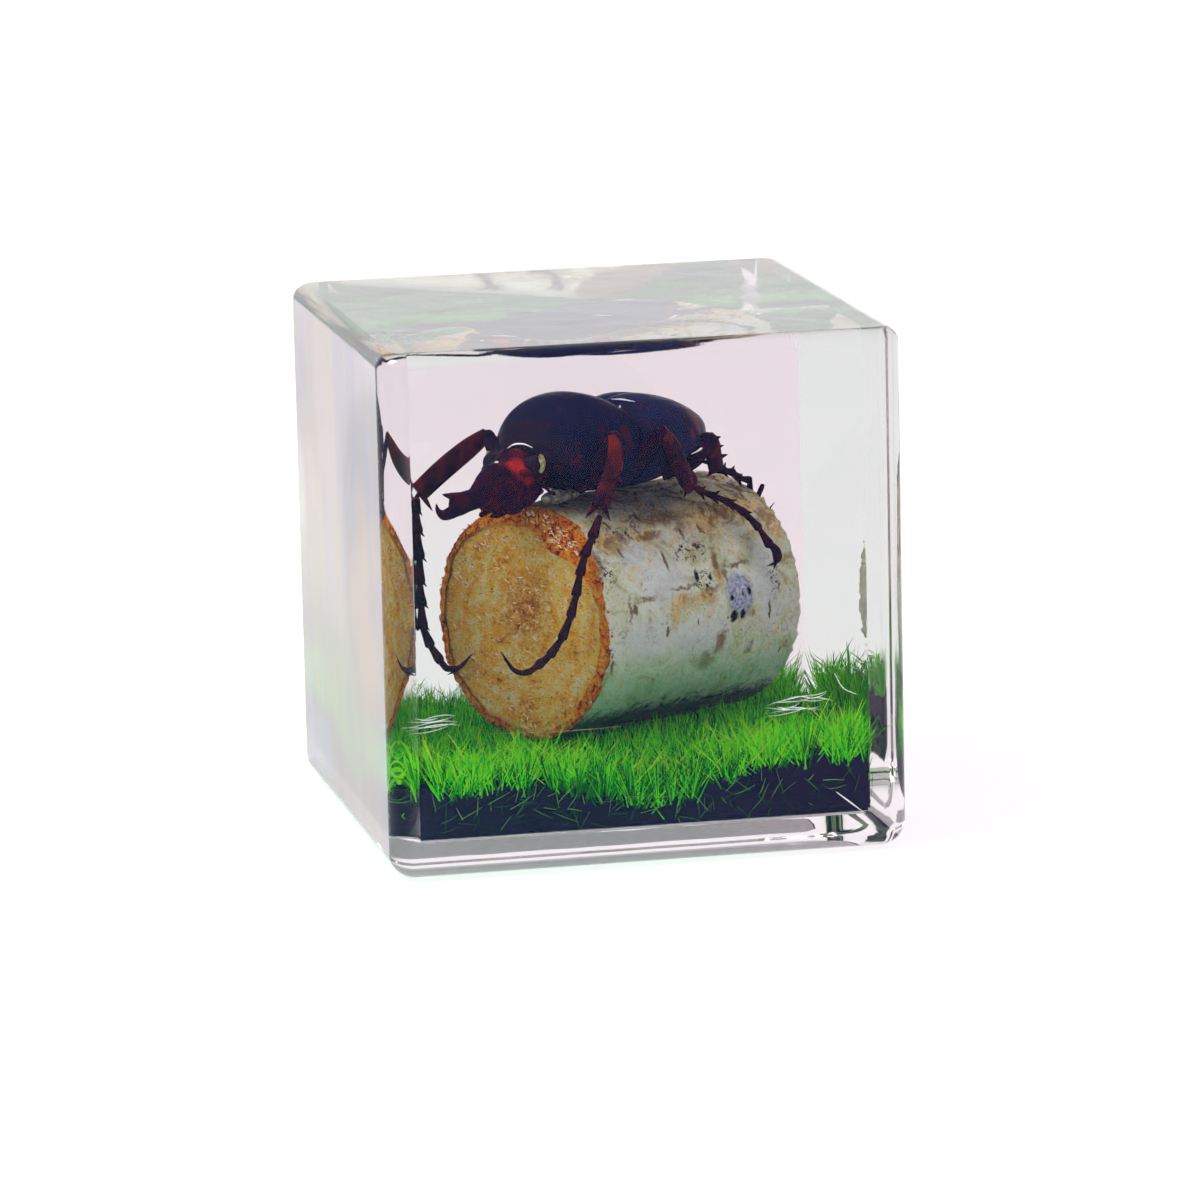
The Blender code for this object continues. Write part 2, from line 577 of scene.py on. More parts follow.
def bark_finish():
    """Silver birch bark: milky green-white skin, smooth blue-white areas, gold and brown flakes, a knot, with
    painted shadow under the beetle, painted green light from the turf and painted shade below.
    """
    f = Finish("birch_bark")
    z = f.part("Z")
    skin = bark_skin(f)
    loose = frayed(f, skin, 3.4, 0.42)
    close = frayed(f, skin, 1.0, 1.1)
    clouds = f.noise(0.16, 5.0, 0.62, 0.9, skin)
    fine = f.noise(1.3, 5.0, 0.72, 0.3, skin)
    flakes = f.noise(0.5, 6.0, 0.72, 1.4, skin)
    veins = f.noise(0.24, 4.0, 0.6, 1.2, skin)
    colour = f.ramp(clouds, (0.35, (0.46, 0.38, 0.12)), (0.44, (0.76, 0.82, 0.5)), (0.56, (0.92, 1.0, 0.86)),
                    (0.68, (0.92, 0.76, 0.32)))
    colour = f.mix(f.span(fine, 0.42, 0.64, 0.0, 0.5), colour, (0.98, 1.0, 0.9))
    colour = f.mix(f.span(flakes, 0.45, 0.35, 0.0, 0.5), colour, (0.46, 0.38, 0.15))
    smooth_skin = f.blots(loose, SMOOTH_SKIN, 0.6)
    colour = f.mix(smooth_skin * 0.75, colour, f.ramp(fine, (0.3, (0.72, 0.86, 0.9)),
        (0.7, (0.98, 1.0, 1.0))))
    # thin brown lines that wander over the skin
    line = f.span(abs(veins - 0.5), 0.012, 0.0)
    line = line * f.span(flakes, 0.48, 0.56)
    colour = f.mix(line * 0.8, colour, (0.27, 0.15, 0.05))
    # gold and brown flakes, thickest on the upper side
    upper = f.span(flakes, 0.47, 0.55) * f.span(z, 5.0, 14.5)
    gold = f.larger(f.blots(loose, GOLD, 0.6), upper) * f.span(fine, 0.3, 0.55, 0.4, 0.85)
    colour = f.mix(gold, colour, f.ramp(flakes, (0.36, (0.36, 0.17, 0.02)), (0.48, (0.84, 0.5, 0.08)),
        (0.6, (1.0, 0.78, 0.32))))
    worn = f.span(f.noise(0.22, 5.0, 0.7, 0.8, skin), 0.5, 0.6) * f.span(z, 6.0, 14.0)
    brown = f.larger(f.blots(loose, BROWN, 0.5), worn) * f.span(fine, 0.3, 0.5)
    colour = f.mix(brown * 0.85, colour, f.ramp(fine, (0.35, (0.06, 0.028, 0.012)),
        (0.6, (0.34, 0.16, 0.04))))
    # the fuzzy knot, dark spots and dashes
    knot = f.blots(close, KNOT)
    colour = f.mix(knot, colour, f.ramp(f.noise(1.5, 5.0, 0.8, 0.0, skin), (0.38, (0.16, 0.2, 0.32)),
        (0.5, (0.5, 0.56, 0.78)), (0.62, (0.9, 0.93, 1.0))))
    grains = f.noise(1.1, 3.0, 0.75, 0.6, skin)
    spots = f.span(grains, 0.55, 0.6) * f.blots(loose, SPOTS, 0.5)
    spots = f.larger(spots, f.blots(close, BLACK))
    colour = f.mix(spots, colour, (0.018, 0.018, 0.02))
    stray = f.span(f.cells(0.3, f.stretch(1.9, 0.62, 1.0, skin)), 0.13, 0.09) * f.span(flakes, 0.5, 0.56)
    dashes = f.larger(f.blots(close, DASHES), stray)
    colour = f.mix(dashes * 0.85, colour, (0.16, 0.07, 0.02))
    # under the beetle, a smoky film darkened further as painted shadow; painted green light thrown up by the
    # turf; painted shade on the underside
    under = f.blots(loose, [(17.0, 2.0, 13.0, 8.0)]) * f.span(fine, 0.35, 0.6, 1.0, 0.6)
    colour = f.mix(under * 0.8, colour, (0.1, 0.125, 0.17))
    green = f.span(z, -3.0, -11.0) * f.span(flakes, 0.3, 0.6, 1.0, 0.5)
    colour = f.mix(green * 0.8, colour, (0.26, 0.86, 0.4))
    colour = f.mix(f.span(z + (flakes - 0.5) * 6.0, -12.0, -14.5, 0.0, 0.85), colour, (0.035, 0.07, 0.08))
    f.set(Base_Color=colour, Roughness=f.span(fine, 0.3, 0.7, 0.4, 0.7), Specular_IOR_Level=0.3)
    lumps = fine * 0.5 + (flakes + dashes * -0.5)
    lumps = lumps + knot * grains * 1.5
    f.bump(lumps + gold * 0.6, 0.9, 0.45)
    return f.material


def shell_finish():
    """Blackish shell with a navy cast, browner at the front and redder at the tail, with a painted red glint
    where the middle leg meets the body.
    """
    f = Finish("beetle_shell")
    clouds = f.noise(0.22, 4.0, 0.6, 0.5)
    wrinkles = f.noise(0.5, 2.0, 0.5, 0.8)
    colour = f.ramp(clouds, (0.35, (0.007, 0.01, 0.046)), (0.55, (0.012, 0.012, 0.048)),
        (0.75, (0.026, 0.013, 0.038)))
    colour = f.mix(f.span(f.part("X"), 15.0, 19.0, 0.0, 0.75), colour, (0.022, 0.026, 0.085))
    colour = f.mix(f.span(f.part("X"), 3.5, -2.5, 0.0, 0.7), colour, (0.026, 0.018, 0.022))
    reddish = f.larger(f.span(f.part("X"), 31.0, 36.0, 0.0, 0.8),
                       f.span(f.noise(0.3, 3.0, 0.6), 0.56, 0.66, 0.0, 0.6))
    colour = f.mix(reddish, colour, (0.07, 0.014, 0.02))
    # red patches of the shell; the last spot is a painted red glint where the middle leg meets the body
    red_patches_and_painted_glint = (((28.8, -5.5, 8.7), 3.6), ((29.6, -6.2, 6.6), 1.6), ((26.0, -8.6, 7.6), 1.4),
                   ((20.4, -10.0, 6.6), 1.2))
    for place, size in red_patches_and_painted_glint:
        share = f.near(place, size) * f.span(clouds, 0.3, 0.6, 0.4, 1.0)
        colour = f.mix(share, colour, (0.17, 0.022, 0.02))
    f.set(Base_Color=colour, Roughness=f.span(clouds, 0.3, 0.7, 0.14, 0.26), Specular_IOR_Level=0.05)
    f.bump(wrinkles, 0.12, 0.1)
    return f.material


def red_finish(name, dark, middle, bright, glows=(), glow=(0.24, 0.02, 0.014)):
    """Thin red-brown shell, with a painted glow of light through it in the given (place, size) spots."""
    f = Finish(name)
    clouds = f.noise(0.35, 4.0, 0.6, 0.6)
    pits = f.cells(4.0)
    colour = f.ramp(clouds, (0.32, dark), (0.52, middle), (0.74, bright))
    # painted glow of light through the thin shell
    for place, size in glows:
        colour = f.mix(f.near(place, size) * f.span(clouds, 0.3, 0.6, 0.55, 1.0), colour, glow)
    f.set(Base_Color=colour, Roughness=f.span(clouds, 0.3, 0.7, 0.16, 0.3), Specular_IOR_Level=0.1)
    f.bump(clouds + f.span(pits, 0.0, 0.35) * 0.06, 0.15, 0.1)
    return f.material


def gleam_finish():
    """A film of trapped air, pale and with a faint glow of its own: a painted gleam inside the resin."""
    f = Finish("painted_gleam_air_film")
    grain = f.noise(2.2, 3.0, 0.6)
    f.set(Base_Color=f.ramp(grain, (0.3, (0.8, 0.82, 0.8)), (0.6, (0.98, 0.98, 0.97))),
          Roughness=f.span(grain, 0.3, 0.7, 0.25, 0.5), IOR=1.5)
    # the glow of its own is painted light
    f.set(Emission_Color=(1.0, 1.0, 1.0), Emission_Strength=0.35)
    return f.material


def olive_finish():
    """Pale olive, for the painted glint round each eye and the faint line of a pour."""
    f = Finish("painted_eye_glint_and_pour_line")
    grain = f.noise(1.5, 3.0, 0.6)
    f.set(Base_Color=f.ramp(grain, (0.35, (0.3, 0.3, 0.08)), (0.65, (0.75, 0.75, 0.4))), Roughness=0.2)
    return f.material


def membrane_finish():
    """Dried olive-grey skin, wet-looking in the resin."""
    f = Finish("dried_skin")
    creases = f.noise(1.1, 4.0, 0.65, 0.8)
    f.set(Base_Color=f.ramp(creases, (0.36, (0.05, 0.06, 0.07)), (0.52, (0.17, 0.18, 0.16)),
        (0.66, (0.42, 0.38, 0.22))), Roughness=0.3)
    f.bump(creases, 0.8, 0.3)
    return f.material


def floor_finish():
    """Plain pale studio plastic, lit a little from below as a light table is."""
    f = Finish("studio_table")
    grain = f.noise(0.02, 3.0, 0.5)
    f.set(Base_Color=f.ramp(grain, (0.3, (0.14, 0.14, 0.14)), (0.7, (0.16, 0.16, 0.16))), Roughness=0.9,
        IOR=1.45)
    side = f.span(f.part("X"), 0.0, 42.0)
    f.set(Emission_Color=f.mix(side, (0.9, 1.0, 0.94), (0.98, 0.9, 0.94)), Emission_Strength=0.9)
    return f.material


# ---------------------------------------------------------------- the block

def add_resin():
    """The cast block: a cube with rolled edges, tighter round its ground top, and with exact normals."""
    steps, turns = 20, 20
    rows = []
    for k in range(steps + 1):
        a = pi / 2 * (k / steps - 1)
        rows.append((EDGE_RADIUS * (1 - cos(a)), EDGE_RADIUS * (1 + sin(a)), a))
    for k in range(steps + 1):
        a = pi / 2 * k / steps
        rows.append((TOP_EDGE_RADIUS * (1 - cos(a)), BLOCK_SIDE - TOP_EDGE_RADIUS * (1 - sin(a)), a))
    points, outward = [], []
    for row, (inset, height, tilt) in enumerate(rows):
        for corner in range(4):
            for k in range(turns + 1 if row else 1):
                turn = pi / 2 * (corner + k / turns)
                middle = (HALF_SIDE - EDGE_RADIUS) * sqrt(2)
                x = middle * cos(pi / 2 * corner + pi / 4) + (EDGE_RADIUS - inset) * cos(turn)
                y = middle * sin(pi / 2 * corner + pi / 4) + (EDGE_RADIUS - inset) * sin(turn)
                points.append((x, y, height))
                outward.append((cos(turn) * cos(tilt), sin(turn) * cos(tilt), sin(tilt)))

    def at(row, k):
        """The number of a row's point. The first row has one point a corner, the others turns + 1."""
        k %= 4 * (turns + 1)
        return k // (turns + 1) if row == 0 else 4 + (row - 1) * 4 * (turns + 1) + k

    faces = [(3, 2, 1, 0)]
    for row in range(len(rows) - 1):
        for k in range(4 * (turns + 1)):
            quad = dict.fromkeys((at(row, k), at(row, k + 1), at(row + 1, k + 1), at(row + 1, k)))
            faces.append(tuple(quad))
    faces.append(tuple(at(len(rows) - 1, k) for k in range(4 * (turns + 1))))
    block = add_piece("clear_resin_block", points, faces, resin_finish())
    block.data.normals_split_custom_set_from_vertices(outward)
    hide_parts("resin_block")


def add_inner_casting():
    """The smaller block that holds the scene. Its lower face is the underside of the turf."""
    low = np.array([-INNER_HALF, -INNER_FRONT, TURF_BOTTOM - 0.35])
    high = np.array([INNER_HALF, INNER_FRONT, INNER_TOP])
    bm = bmesh.new()
    bmesh.ops.create_cube(bm, size=1.0)
    for v in bm.verts:
        v.co = Vector(np.where(np.array(v.co) > 0, high, low))
    bmesh.ops.bevel(bm, geom=bm.edges[:], offset=0.35, segments=4, profile=0.5, affect="EDGES")
    bmesh.ops.recalc_face_normals(bm, faces=bm.faces[:])
    points = [v.co.copy() for v in bm.verts]
    faces = [[v.index for v in face.verts] for face in bm.faces]
    bm.free()
    finish = inner_resin_finish()
    add_piece("inner_resin_casting", points, faces, finish, INNER_FRAME, False)


# ---------------------------------------------------------------- turf and grass

def turf_height(x, y):
    """Height of the backing's top: gently rolling, and swollen in waves along its edges."""
    roll = 0.8 * noise_at(0.055 * x, 0.055 * y, 3.1) + 0.35 * noise_at(0.3 * x, 0.3 * y, 7.7)
    near = TURF_HALF - max(abs(x), abs(y))
    along = x if abs(y) > abs(x) else y + 6
    wave = 1.7 - 3.9 * exp(-(((along - 2) / 9) ** 2)) + 1.4 / (1 + exp((17 - along) / 3))
    return TURF_TOP + roll + wave * exp(-((max(near, 0.0) / 4.5) ** 2))


def ground_at(place):
    """Height of the backing's top at the nearest place on it."""
    return turf_height(clamp(place.x, TURF_HALF), clamp(place.y, TURF_HALF))


def add_turf_backing():
    """The dark slab: its top is turf_height, drooping at the edge, and its sides are a little lumpy."""
    count, layers = 72, 6
    line = np.linspace(-TURF_HALF, TURF_HALF, count + 1)
    points = []
    for y in line:
        for x in line:
            edge = min(TURF_HALF - abs(x), TURF_HALF - abs(y))
            droop = 0.9 * max(0.0, 1.0 - edge / 1.6) ** 2
            points.append((x, y, turf_height(x, y) - droop))
    faces, rim = grid(count, count)
    last = rim
    for k in range(1, layers + 1):
        share = k / layers
        ring = []
        for i in rim:
            x, y, z = points[i]
            size = 1 + 0.28 * noise_at(0.5 * x, 0.5 * y, 2.0 * share) / TURF_HALF
            ring.append(len(points))
            points.append((x * size, y * size, z + (TURF_BOTTOM - z) * share))
        for i in range(len(rim)):
            j = (i + 1) % len(rim)
            faces.append((last[j], last[i], ring[i], ring[j]))
        last = ring
    faces.append(tuple(reversed(last)))
    add_piece("turf_backing", points, faces, turf_finish(), INNER_FRAME)


def add_underlay(material):
    """The latex coat under the backing, thin and a little uneven."""
    count = 24
    line = np.linspace(-TURF_HALF + 0.2, TURF_HALF - 0.2, count + 1)
    upper = [(x, y, TURF_BOTTOM - 0.02) for y in line for x in line]
    lower = [(x, y, TURF_BOTTOM - 0.16 - 0.05 * noise_at(0.3 * x, 0.3 * y, 5.0)) for y in line for x in line]
    total = len(upper)
    cells, rim = grid(count, count)
    faces = []
    for cell in cells:
        faces.append(cell)
        faces.append((total + cell[0], total + cell[3], total + cell[2], total + cell[1]))
    for i in range(len(rim)):
        a, b = rim[i], rim[(i + 1) % len(rim)]
        faces.append((b, a, total + a, total + b))
    add_piece("turf_underlay", upper + lower, faces, material, INNER_FRAME)


def blade(body, root, way, length, width, droop, facing):
    """One flock fibre: a thin tapering ribbon of three parts that points along `way` and droops."""
    way = Vector(way).normalized()
    side = Vector((cos(facing), sin(facing), 0.0)) * width / 2
    sag = Vector((way.x, way.y, -1.0))
    points = []
    for share in (0.0, 0.4, 0.75):
        centre = Vector(root) + way * length * share + sag * droop * length * share * share
        points.append(centre - side * (1 - 0.4 * share))
        points.append(centre + side * (1 - 0.4 * share))
    points.append(Vector(root) + way * length + sag * droop * length)
    body.add(points, [(0, 1, 3, 2), (2, 3, 5, 4), (4, 5, 6)])


def log_clearance(x, y):
    """Height of the log's underside above a place, or None beside the log."""
    spot = LOG_FRAME.inverted() @ Vector((x * MM, y * MM, LOG_START.z * MM)) / MM
    if not -0.6 < spot.x < LOG_LENGTH + 0.4 or abs(spot.y) > LOG_RADIUS:
        return None
    return LOG_START.z - sqrt(LOG_RADIUS ** 2 - spot.y ** 2)


def bare_corner(x, y):
    """True where the turf is worn almost bare: a narrow strip along its right side, towards the back."""
    return x - 0.14 * y > 26.3 and y > BARE_FROM


def grow_grass(name, tufts, seed, y_low, y_high, material, tallest, fanning):
    """A stretch of turf between two depths: fibres that fan out of small tufts."""
    rng = random.Random(seed)
    body = Body()
    reach = TURF_HALF - 0.3
    for _ in range(tufts):
        tuft_x, tuft_y = rng.uniform(-reach, reach), rng.uniform(y_low, y_high)
        tuft_size = rng.uniform(0.5, 1.5)
        tuft_lean = Vector((rng.gauss(0, 0.16), rng.gauss(0, 0.16)))
        vigour = 0.72 + 0.28 * noise_at(0.14 * tuft_x, 0.14 * tuft_y, 11.0) + rng.uniform(-0.1, 0.1)
        for _ in range(rng.randint(9, 16)):
            angle, out = rng.uniform(0, TAU), tuft_size * sqrt(rng.random())
            x, y = tuft_x + out * cos(angle), tuft_y + out * sin(angle)
            x, y = clamp(x, reach), clamp(y, reach)
            ground = turf_height(x, y) - 0.4
            fan = fanning * out / tuft_size + rng.uniform(-0.1, 0.25)
            way = Vector((tuft_lean.x + fan * cos(angle) + rng.gauss(0, 0.16),
                          tuft_lean.y + fan * sin(angle) + rng.gauss(0, 0.16), 1.0))
            length = tallest * vigour * rng.uniform(0.7, 1.1)
            if bare_corner(x, y):
                length *= 0.28
            over = log_clearance(x, y)
            if over is not None:
                length = min(length, over - ground - 0.2)
            if length < 1.0:
                continue
            room = (INNER_HALF - 0.1 - max(abs(x), abs(y))) / length
            flat = hypot(way.x, way.y) or 1.0
            outward = max(0.0, way.x * copysign(1, x) if abs(x) > abs(y) else way.y * copysign(1, y))
            if outward > room > 0:
                way.x *= room / outward * 0.9
                way.y *= room / outward * 0.9
            blade(body, (x, y, ground), way, length, rng.uniform(0.14, 0.27),
                  0.1 * rng.random() * flat, rng.uniform(0, pi))
    body.piece(name, material, "grass_fibre", INNER_FRAME, False)


def add_fringe(material):
    """Tufts along the four edges, whose fibres spread over the face of the backing."""
    rng = random.Random(41)
    tufts = 70
    body = Body()
    for side in range(4):
        spin = Matrix.Rotation(side * pi / 2, 3, "Z")
        for _ in range(tufts):
            tuft = rng.uniform(-TURF_HALF + 0.5, TURF_HALF - 0.5)
            lean = rng.gauss(0, 0.25)
            if side == RIGHT and tuft > BARE_FROM:
                continue
            for _ in range(rng.randint(8, 18)):
                spread = rng.gauss(0, 0.8)
                u = clamp(tuft + 0.9 * spread, TURF_HALF - 0.3)
                edge = spin @ Vector((u, -TURF_HALF - 0.12, 0))
                ground = ground_at(edge)
                low = abs(rng.gauss(0, 0.9))
                way = spin @ Vector((lean + 0.5 * spread, -0.04 - 0.05 * rng.random(), 1.0))
                root = (edge.x, edge.y, ground - 0.7 - low)
                blade(body, root, way, rng.uniform(3.5, 7.5) - 0.8 * low, rng.uniform(0.14, 0.24), 0.0,
                      side * pi / 2 + rng.gauss(0, 0.4))
    body.piece("grass_fringe", material, "grass_fibre", INNER_FRAME, False)


def add_crossing_blades(material):
    """Long single blades that lie over the edge tufts, leaning either way and crossing each other."""
    rng = random.Random(61)
    blades = 620
    body = Body()
    for side in range(4):
        spin = Matrix.Rotation(side * pi / 2, 3, "Z")
        for _ in range(blades):
            u = rng.uniform(-TURF_HALF + 2.0, TURF_HALF - 2.0)
            if side == RIGHT and u > BARE_FROM:
                continue
            y = -TURF_HALF + rng.uniform(-0.35, 3.2)
            root = spin @ Vector((u, y, 0))
            root.z = ground_at(root) + rng.uniform(-1.4, 2.2)
            lean = rng.choice((-1, 1)) * rng.uniform(0.3, 1.9)
            long = rng.uniform(3.0, 7.4)
            reach = min(abs(lean) * long / hypot(lean, 1.0), TURF_HALF - 0.4 - abs(u))
            lean = copysign(reach / max(long - 0.3 * reach, 1.0), lean)
            way = spin @ Vector((lean, rng.uniform(-0.03, 0.01), 1.0))
            blade(body, root, way, long, rng.uniform(0.14, 0.28), rng.uniform(0.0, 0.15),
                side * pi / 2 + rng.gauss(0, 0.3))
    body.piece("crossing_blades", material, "grass_fibre", INNER_FRAME, False)


def add_loose_fibres(material, pale):
    """Single blades that stuck to the backing's sides while the resin set, and one pale one in the glowing
    gleam finish: painted light.
    """
    rng = random.Random(97)
    fibres = 170
    body = Body()
    for side in range(4):
        spin = Matrix.Rotation(side * pi / 2, 3, "Z")
        for _ in range(fibres):
            u = rng.uniform(-TURF_HALF + 1.5, TURF_HALF - 1.5)
            z = TURF_BOTTOM + 0.4 + (TURF_TOP - TURF_BOTTOM - 1.2) * rng.random() ** 0.8
            angle = rng.gauss(0.5, 0.8) if rng.random() < 0.7 else rng.uniform(0, TAU)
            long = rng.uniform(0.8, 4.2)
            rise = sin(angle) * long
            rise = max(TURF_BOTTOM + 0.2 - z, min(rise, TURF_TOP + 1.5 - z))
            y = -TURF_HALF - rng.uniform(0.25, 0.75)
            start = spin @ Vector((u, y, z))
            end = spin @ Vector((u + cos(angle) * long, y - rng.uniform(-0.1, 0.4), z + rise))
            middle = (start + end) / 2 + spin @ Vector((0, -0.1, rng.uniform(-0.12, 0.12)))
            thick = rng.uniform(0.025, 0.055)
            body.limb([(*start, thick, thick), (*middle, thick, thick), (*end, 0.02, 0.02)], 4, 2)
    body.piece("loose_fibres", material, "grass_fibre", INNER_FRAME)
    # the pale fibre glows: painted light
    start = Vector((27.6, -TURF_HALF - 0.9, 8.3))
    end = Vector((31.4, -TURF_HALF - 0.9, 5.2))
    line = Body()
    line.limb([(*start, 0.05, 0.05), (*((start + end) / 2), 0.12, 0.12), (*end, 0.03, 0.03)], 6, 3)
    line.piece("pale_glowing_fibre", pale, "grass_fibre", INNER_FRAME)


def add_gleam_streaks(material, pale):
    """Thin curved streaks of painted light, pale and glowing, that lie level where one pour of resin met the
    next.
    """
    rng = random.Random(5)
    body = Body()
    groups = ((-29.6, -29.5, 21.4, 3.6, 1.3, 7), (22.0, -29.6, 20.8, 4.6, 0.9, 8),
        (26.0, -24.0, 21.0, 3.0, 0.6, 4))
    for x, y, z, wide, tall, count in groups:
        for _ in range(count):
            long = wide * rng.uniform(0.35, 0.95)
            start = x + rng.uniform(-0.6, 0.6) * (wide - long)
            rise = z + rng.uniform(-tall, tall)
            bend, slope = rng.uniform(-0.5, 0.5), rng.uniform(-0.1, 0.16)
            path = []
            for i in range(7):
                u = i / 3 - 1
                thick = 0.085 * (1 - u * u) + 0.015
                path.append((start + long * u, y + 0.3 * u, rise + slope * long * u + bend * (1 - u * u),
                    2.2 * thick, 0.5 * thick))
            body.limb(path, 6, 2, (0, 0.3, 1))
    crack = [(28.0, -30.6, 25.2, 0.03, 0.03), (29.2, -30.4, 23.0, 0.12, 0.06),
        (31.2, -30.2, 21.9, 0.03, 0.03)]
    body.limb(crack, 6, 4)
    body.piece("gleam_streaks", material, "clear_resin", INNER_FRAME)
    line = Body()
    line.limb([(-22.0, -30.5, 19.7, 0.03, 0.03), (-13.0, -30.8, 19.4, 0.1, 0.05),
        (-3.0, -30.6, 19.5, 0.03, 0.03)], 6, 8)
    line.piece("pour_line", pale, "clear_resin", INNER_FRAME)


# ---------------------------------------------------------------- the log

def rough(x, y, z, scale, seed=0.0):
    """Noise at a place of the log. Each seed gives another one."""
    return noise_at(x * scale + seed, y * scale - seed, z * scale + 0.5 * seed)


def bark_radius(x, angle):
    """Radius of the bark at a place along the log and an angle from the top, away from the viewer."""
    angle = (angle + pi) % TAU - pi
    y, z = on_circle(LOG_RADIUS, angle)
    swell = 0.35 * sin(2 * angle + 0.6) + 0.3 * rough(x, y, z, 0.09) + 0.14 * rough(x, y, z, 0.5)
    knot = 0.5 * exp(-(((x - 28.5) / 3.0) ** 2 + ((angle + 1.48) / 0.18) ** 2))
    dip = 0.8 * exp(-(((x - 10.0) / 6.0) ** 2 + ((angle + 0.03) / 0.3) ** 2))
    return LOG_RADIUS - 0.3 + swell + knot - dip


def rim_width(angle):
    """How wide the torn inner bark shows on the front cut: widest at the top, thin below."""
    angle = (angle + pi) % TAU - pi
    torn = 3.0 * exp(-(((angle + 0.55) / 0.34) ** 2)) + 1.5 * exp(-(((angle + 0.02) / 0.4) ** 2))
    return 1.05 + torn + 0.2 * sin(5 * angle) + 0.14 * sin(11 * angle + 1) + 0.1 * sin(23 * angle)


def add_wood(material):
    """The wood with its two sawn ends, torn a little by the saw."""
    rings, sides = 46, 150
    body = Body()
    for end, facing in ((0.0, -1), (LOG_LENGTH, 1)):
        points = [(end, 0, 0)]
        for i in range(1, rings + 1):
            share = i / rings
            for a in around(sides):
                radius = bark_radius(end, a) - (rim_width(a) if facing < 0 else 1.0)
                y, z = sin(a) * radius * share, cos(a) * radius * share
                lift = 0.16 * rough(end, y, z, 1.6, 3.0) + 0.1 * rough(end, y, z, 0.4, 8.0)
                lift += 0.12 * max(0.0, rough(end, y, z, 3.2, 5.0))
                if i == rings:
                    lift -= 0.15
                points.append((end + facing * lift, y, z))
        faces = []
        for j in range(sides):
            k = (j + 1) % sides
            faces.append((0, 1 + j, 1 + k) if facing < 0 else (0, 1 + k, 1 + j))
            for i in range(rings - 1):
                a, b = 1 + i * sides, 1 + (i + 1) * sides
                quad = (a + j, b + j, b + k, a + k)
                faces.append(quad if facing < 0 else quad[::-1])
        body.add(points, faces)
    first, second = 1 + (rings - 1) * sides, 1 + rings * sides + 1 + (rings - 1) * sides
    for j in range(sides):
        k = (j + 1) % sides
        body.faces.append((first + j, second + j, second + k, first + k))
    body.piece("log_wood", material, "birch_wood", LOG_FRAME)


def add_wood_glints(material):
    """Pale split fibres on the sawn face and in the torn bark above it, in a finish that glows faintly:
    painted glints.
    """
    rng = random.Random(23)
    fibres = 300
    body = Body()
    for k in range(fibres):
        torn = k % 3 == 0
        a = rng.gauss(-0.5, 0.35) if torn else rng.uniform(0, TAU)
        edge = bark_radius(0.0, a) - rim_width(a)
        share = rng.random()
        radius = edge + share * (rim_width(a) - 0.5) if torn else (edge - 0.8) * sqrt(share)
        y, z = on_circle(radius, a)
        long = rng.uniform(0.2, 0.5) * (1.5 if rng.random() < 0.2 else 0.9)
        turn = rng.gauss(-0.35, 0.5)
        step = Vector((0.0, -cos(turn), sin(turn))) * long
        middle = Vector((-0.24 + (0.3 if torn else 0.0), y, z))
        thick = rng.uniform(0.05, 0.14)
        crest = middle + Vector((-0.08, 0, 0))
        path = [(*(middle - step), 0.02, 0.02), (*crest, thick, 0.7 * thick), (*(middle + step), 0.02, 0.02)]
        body.limb(path, 6, 2, (1, 0, 0))
    body.piece("wood_glints", material, "birch_wood", LOG_FRAME)


def add_inner_bark(material):
    """The brown layer between wood and white bark, broken open round the front cut."""
    sides = 240
    body = Body()
    shares = (0.0, 0.12, 0.3, 0.5, 0.7, 0.88, 1.0)
    points = []
    for share in shares:
        for a in around(sides):
            outer = bark_radius(0.0, a)
            wide = rim_width(a)
            radius = outer - (wide + 0.25) * (1 - share) - 0.05
            y, z = on_circle(radius, a)
            back = (0.15 + 0.62 * (wide - 0.8)) * share ** 1.7
            tear = 0.35 * rough(0, y, z, 0.9, 2.0) + 0.3 * rough(0, y, z, 2.6, 9.0)
            points.append((back + tear * (0.35 + share) - 0.3, y, z))
    for x in (4.5, 12.0, 22.0, 32.0, LOG_LENGTH - 0.2):
        for a in around(sides):
            points.append((x, *on_circle(bark_radius(x, a) - 0.35, a)))
    for a in around(sides):
        points.append((LOG_LENGTH - 0.1, *on_circle(bark_radius(LOG_LENGTH, a) - 1.4, a)))
    rings = len(points) // sides
    body.add(points, [f[::-1] for f in ring_faces(rings, sides, capped=False)])
    # splinters along the broken rim
    rng = random.Random(12)
    splinters = 150
    for _ in range(splinters):
        a = rng.gauss(-0.35, 0.9)
        wide = rim_width(a)
        radius = bark_radius(0.0, a) - wide * rng.random()
        base = (0.5 + 0.6 * rng.random(), *on_circle(radius, a))
        long = rng.uniform(0.5, 1.6)
        turn = a + rng.gauss(0, 0.5)
        tip = (base[0] - long * rng.uniform(0.2, 0.8), base[1] + sin(turn) * long * 0.4,
               base[2] + cos(turn) * long * 0.4)
        body.spine(base, tip, rng.uniform(0.1, 0.3), 5)
    body.piece("log_inner_bark", material, "birch_wood", LOG_FRAME)


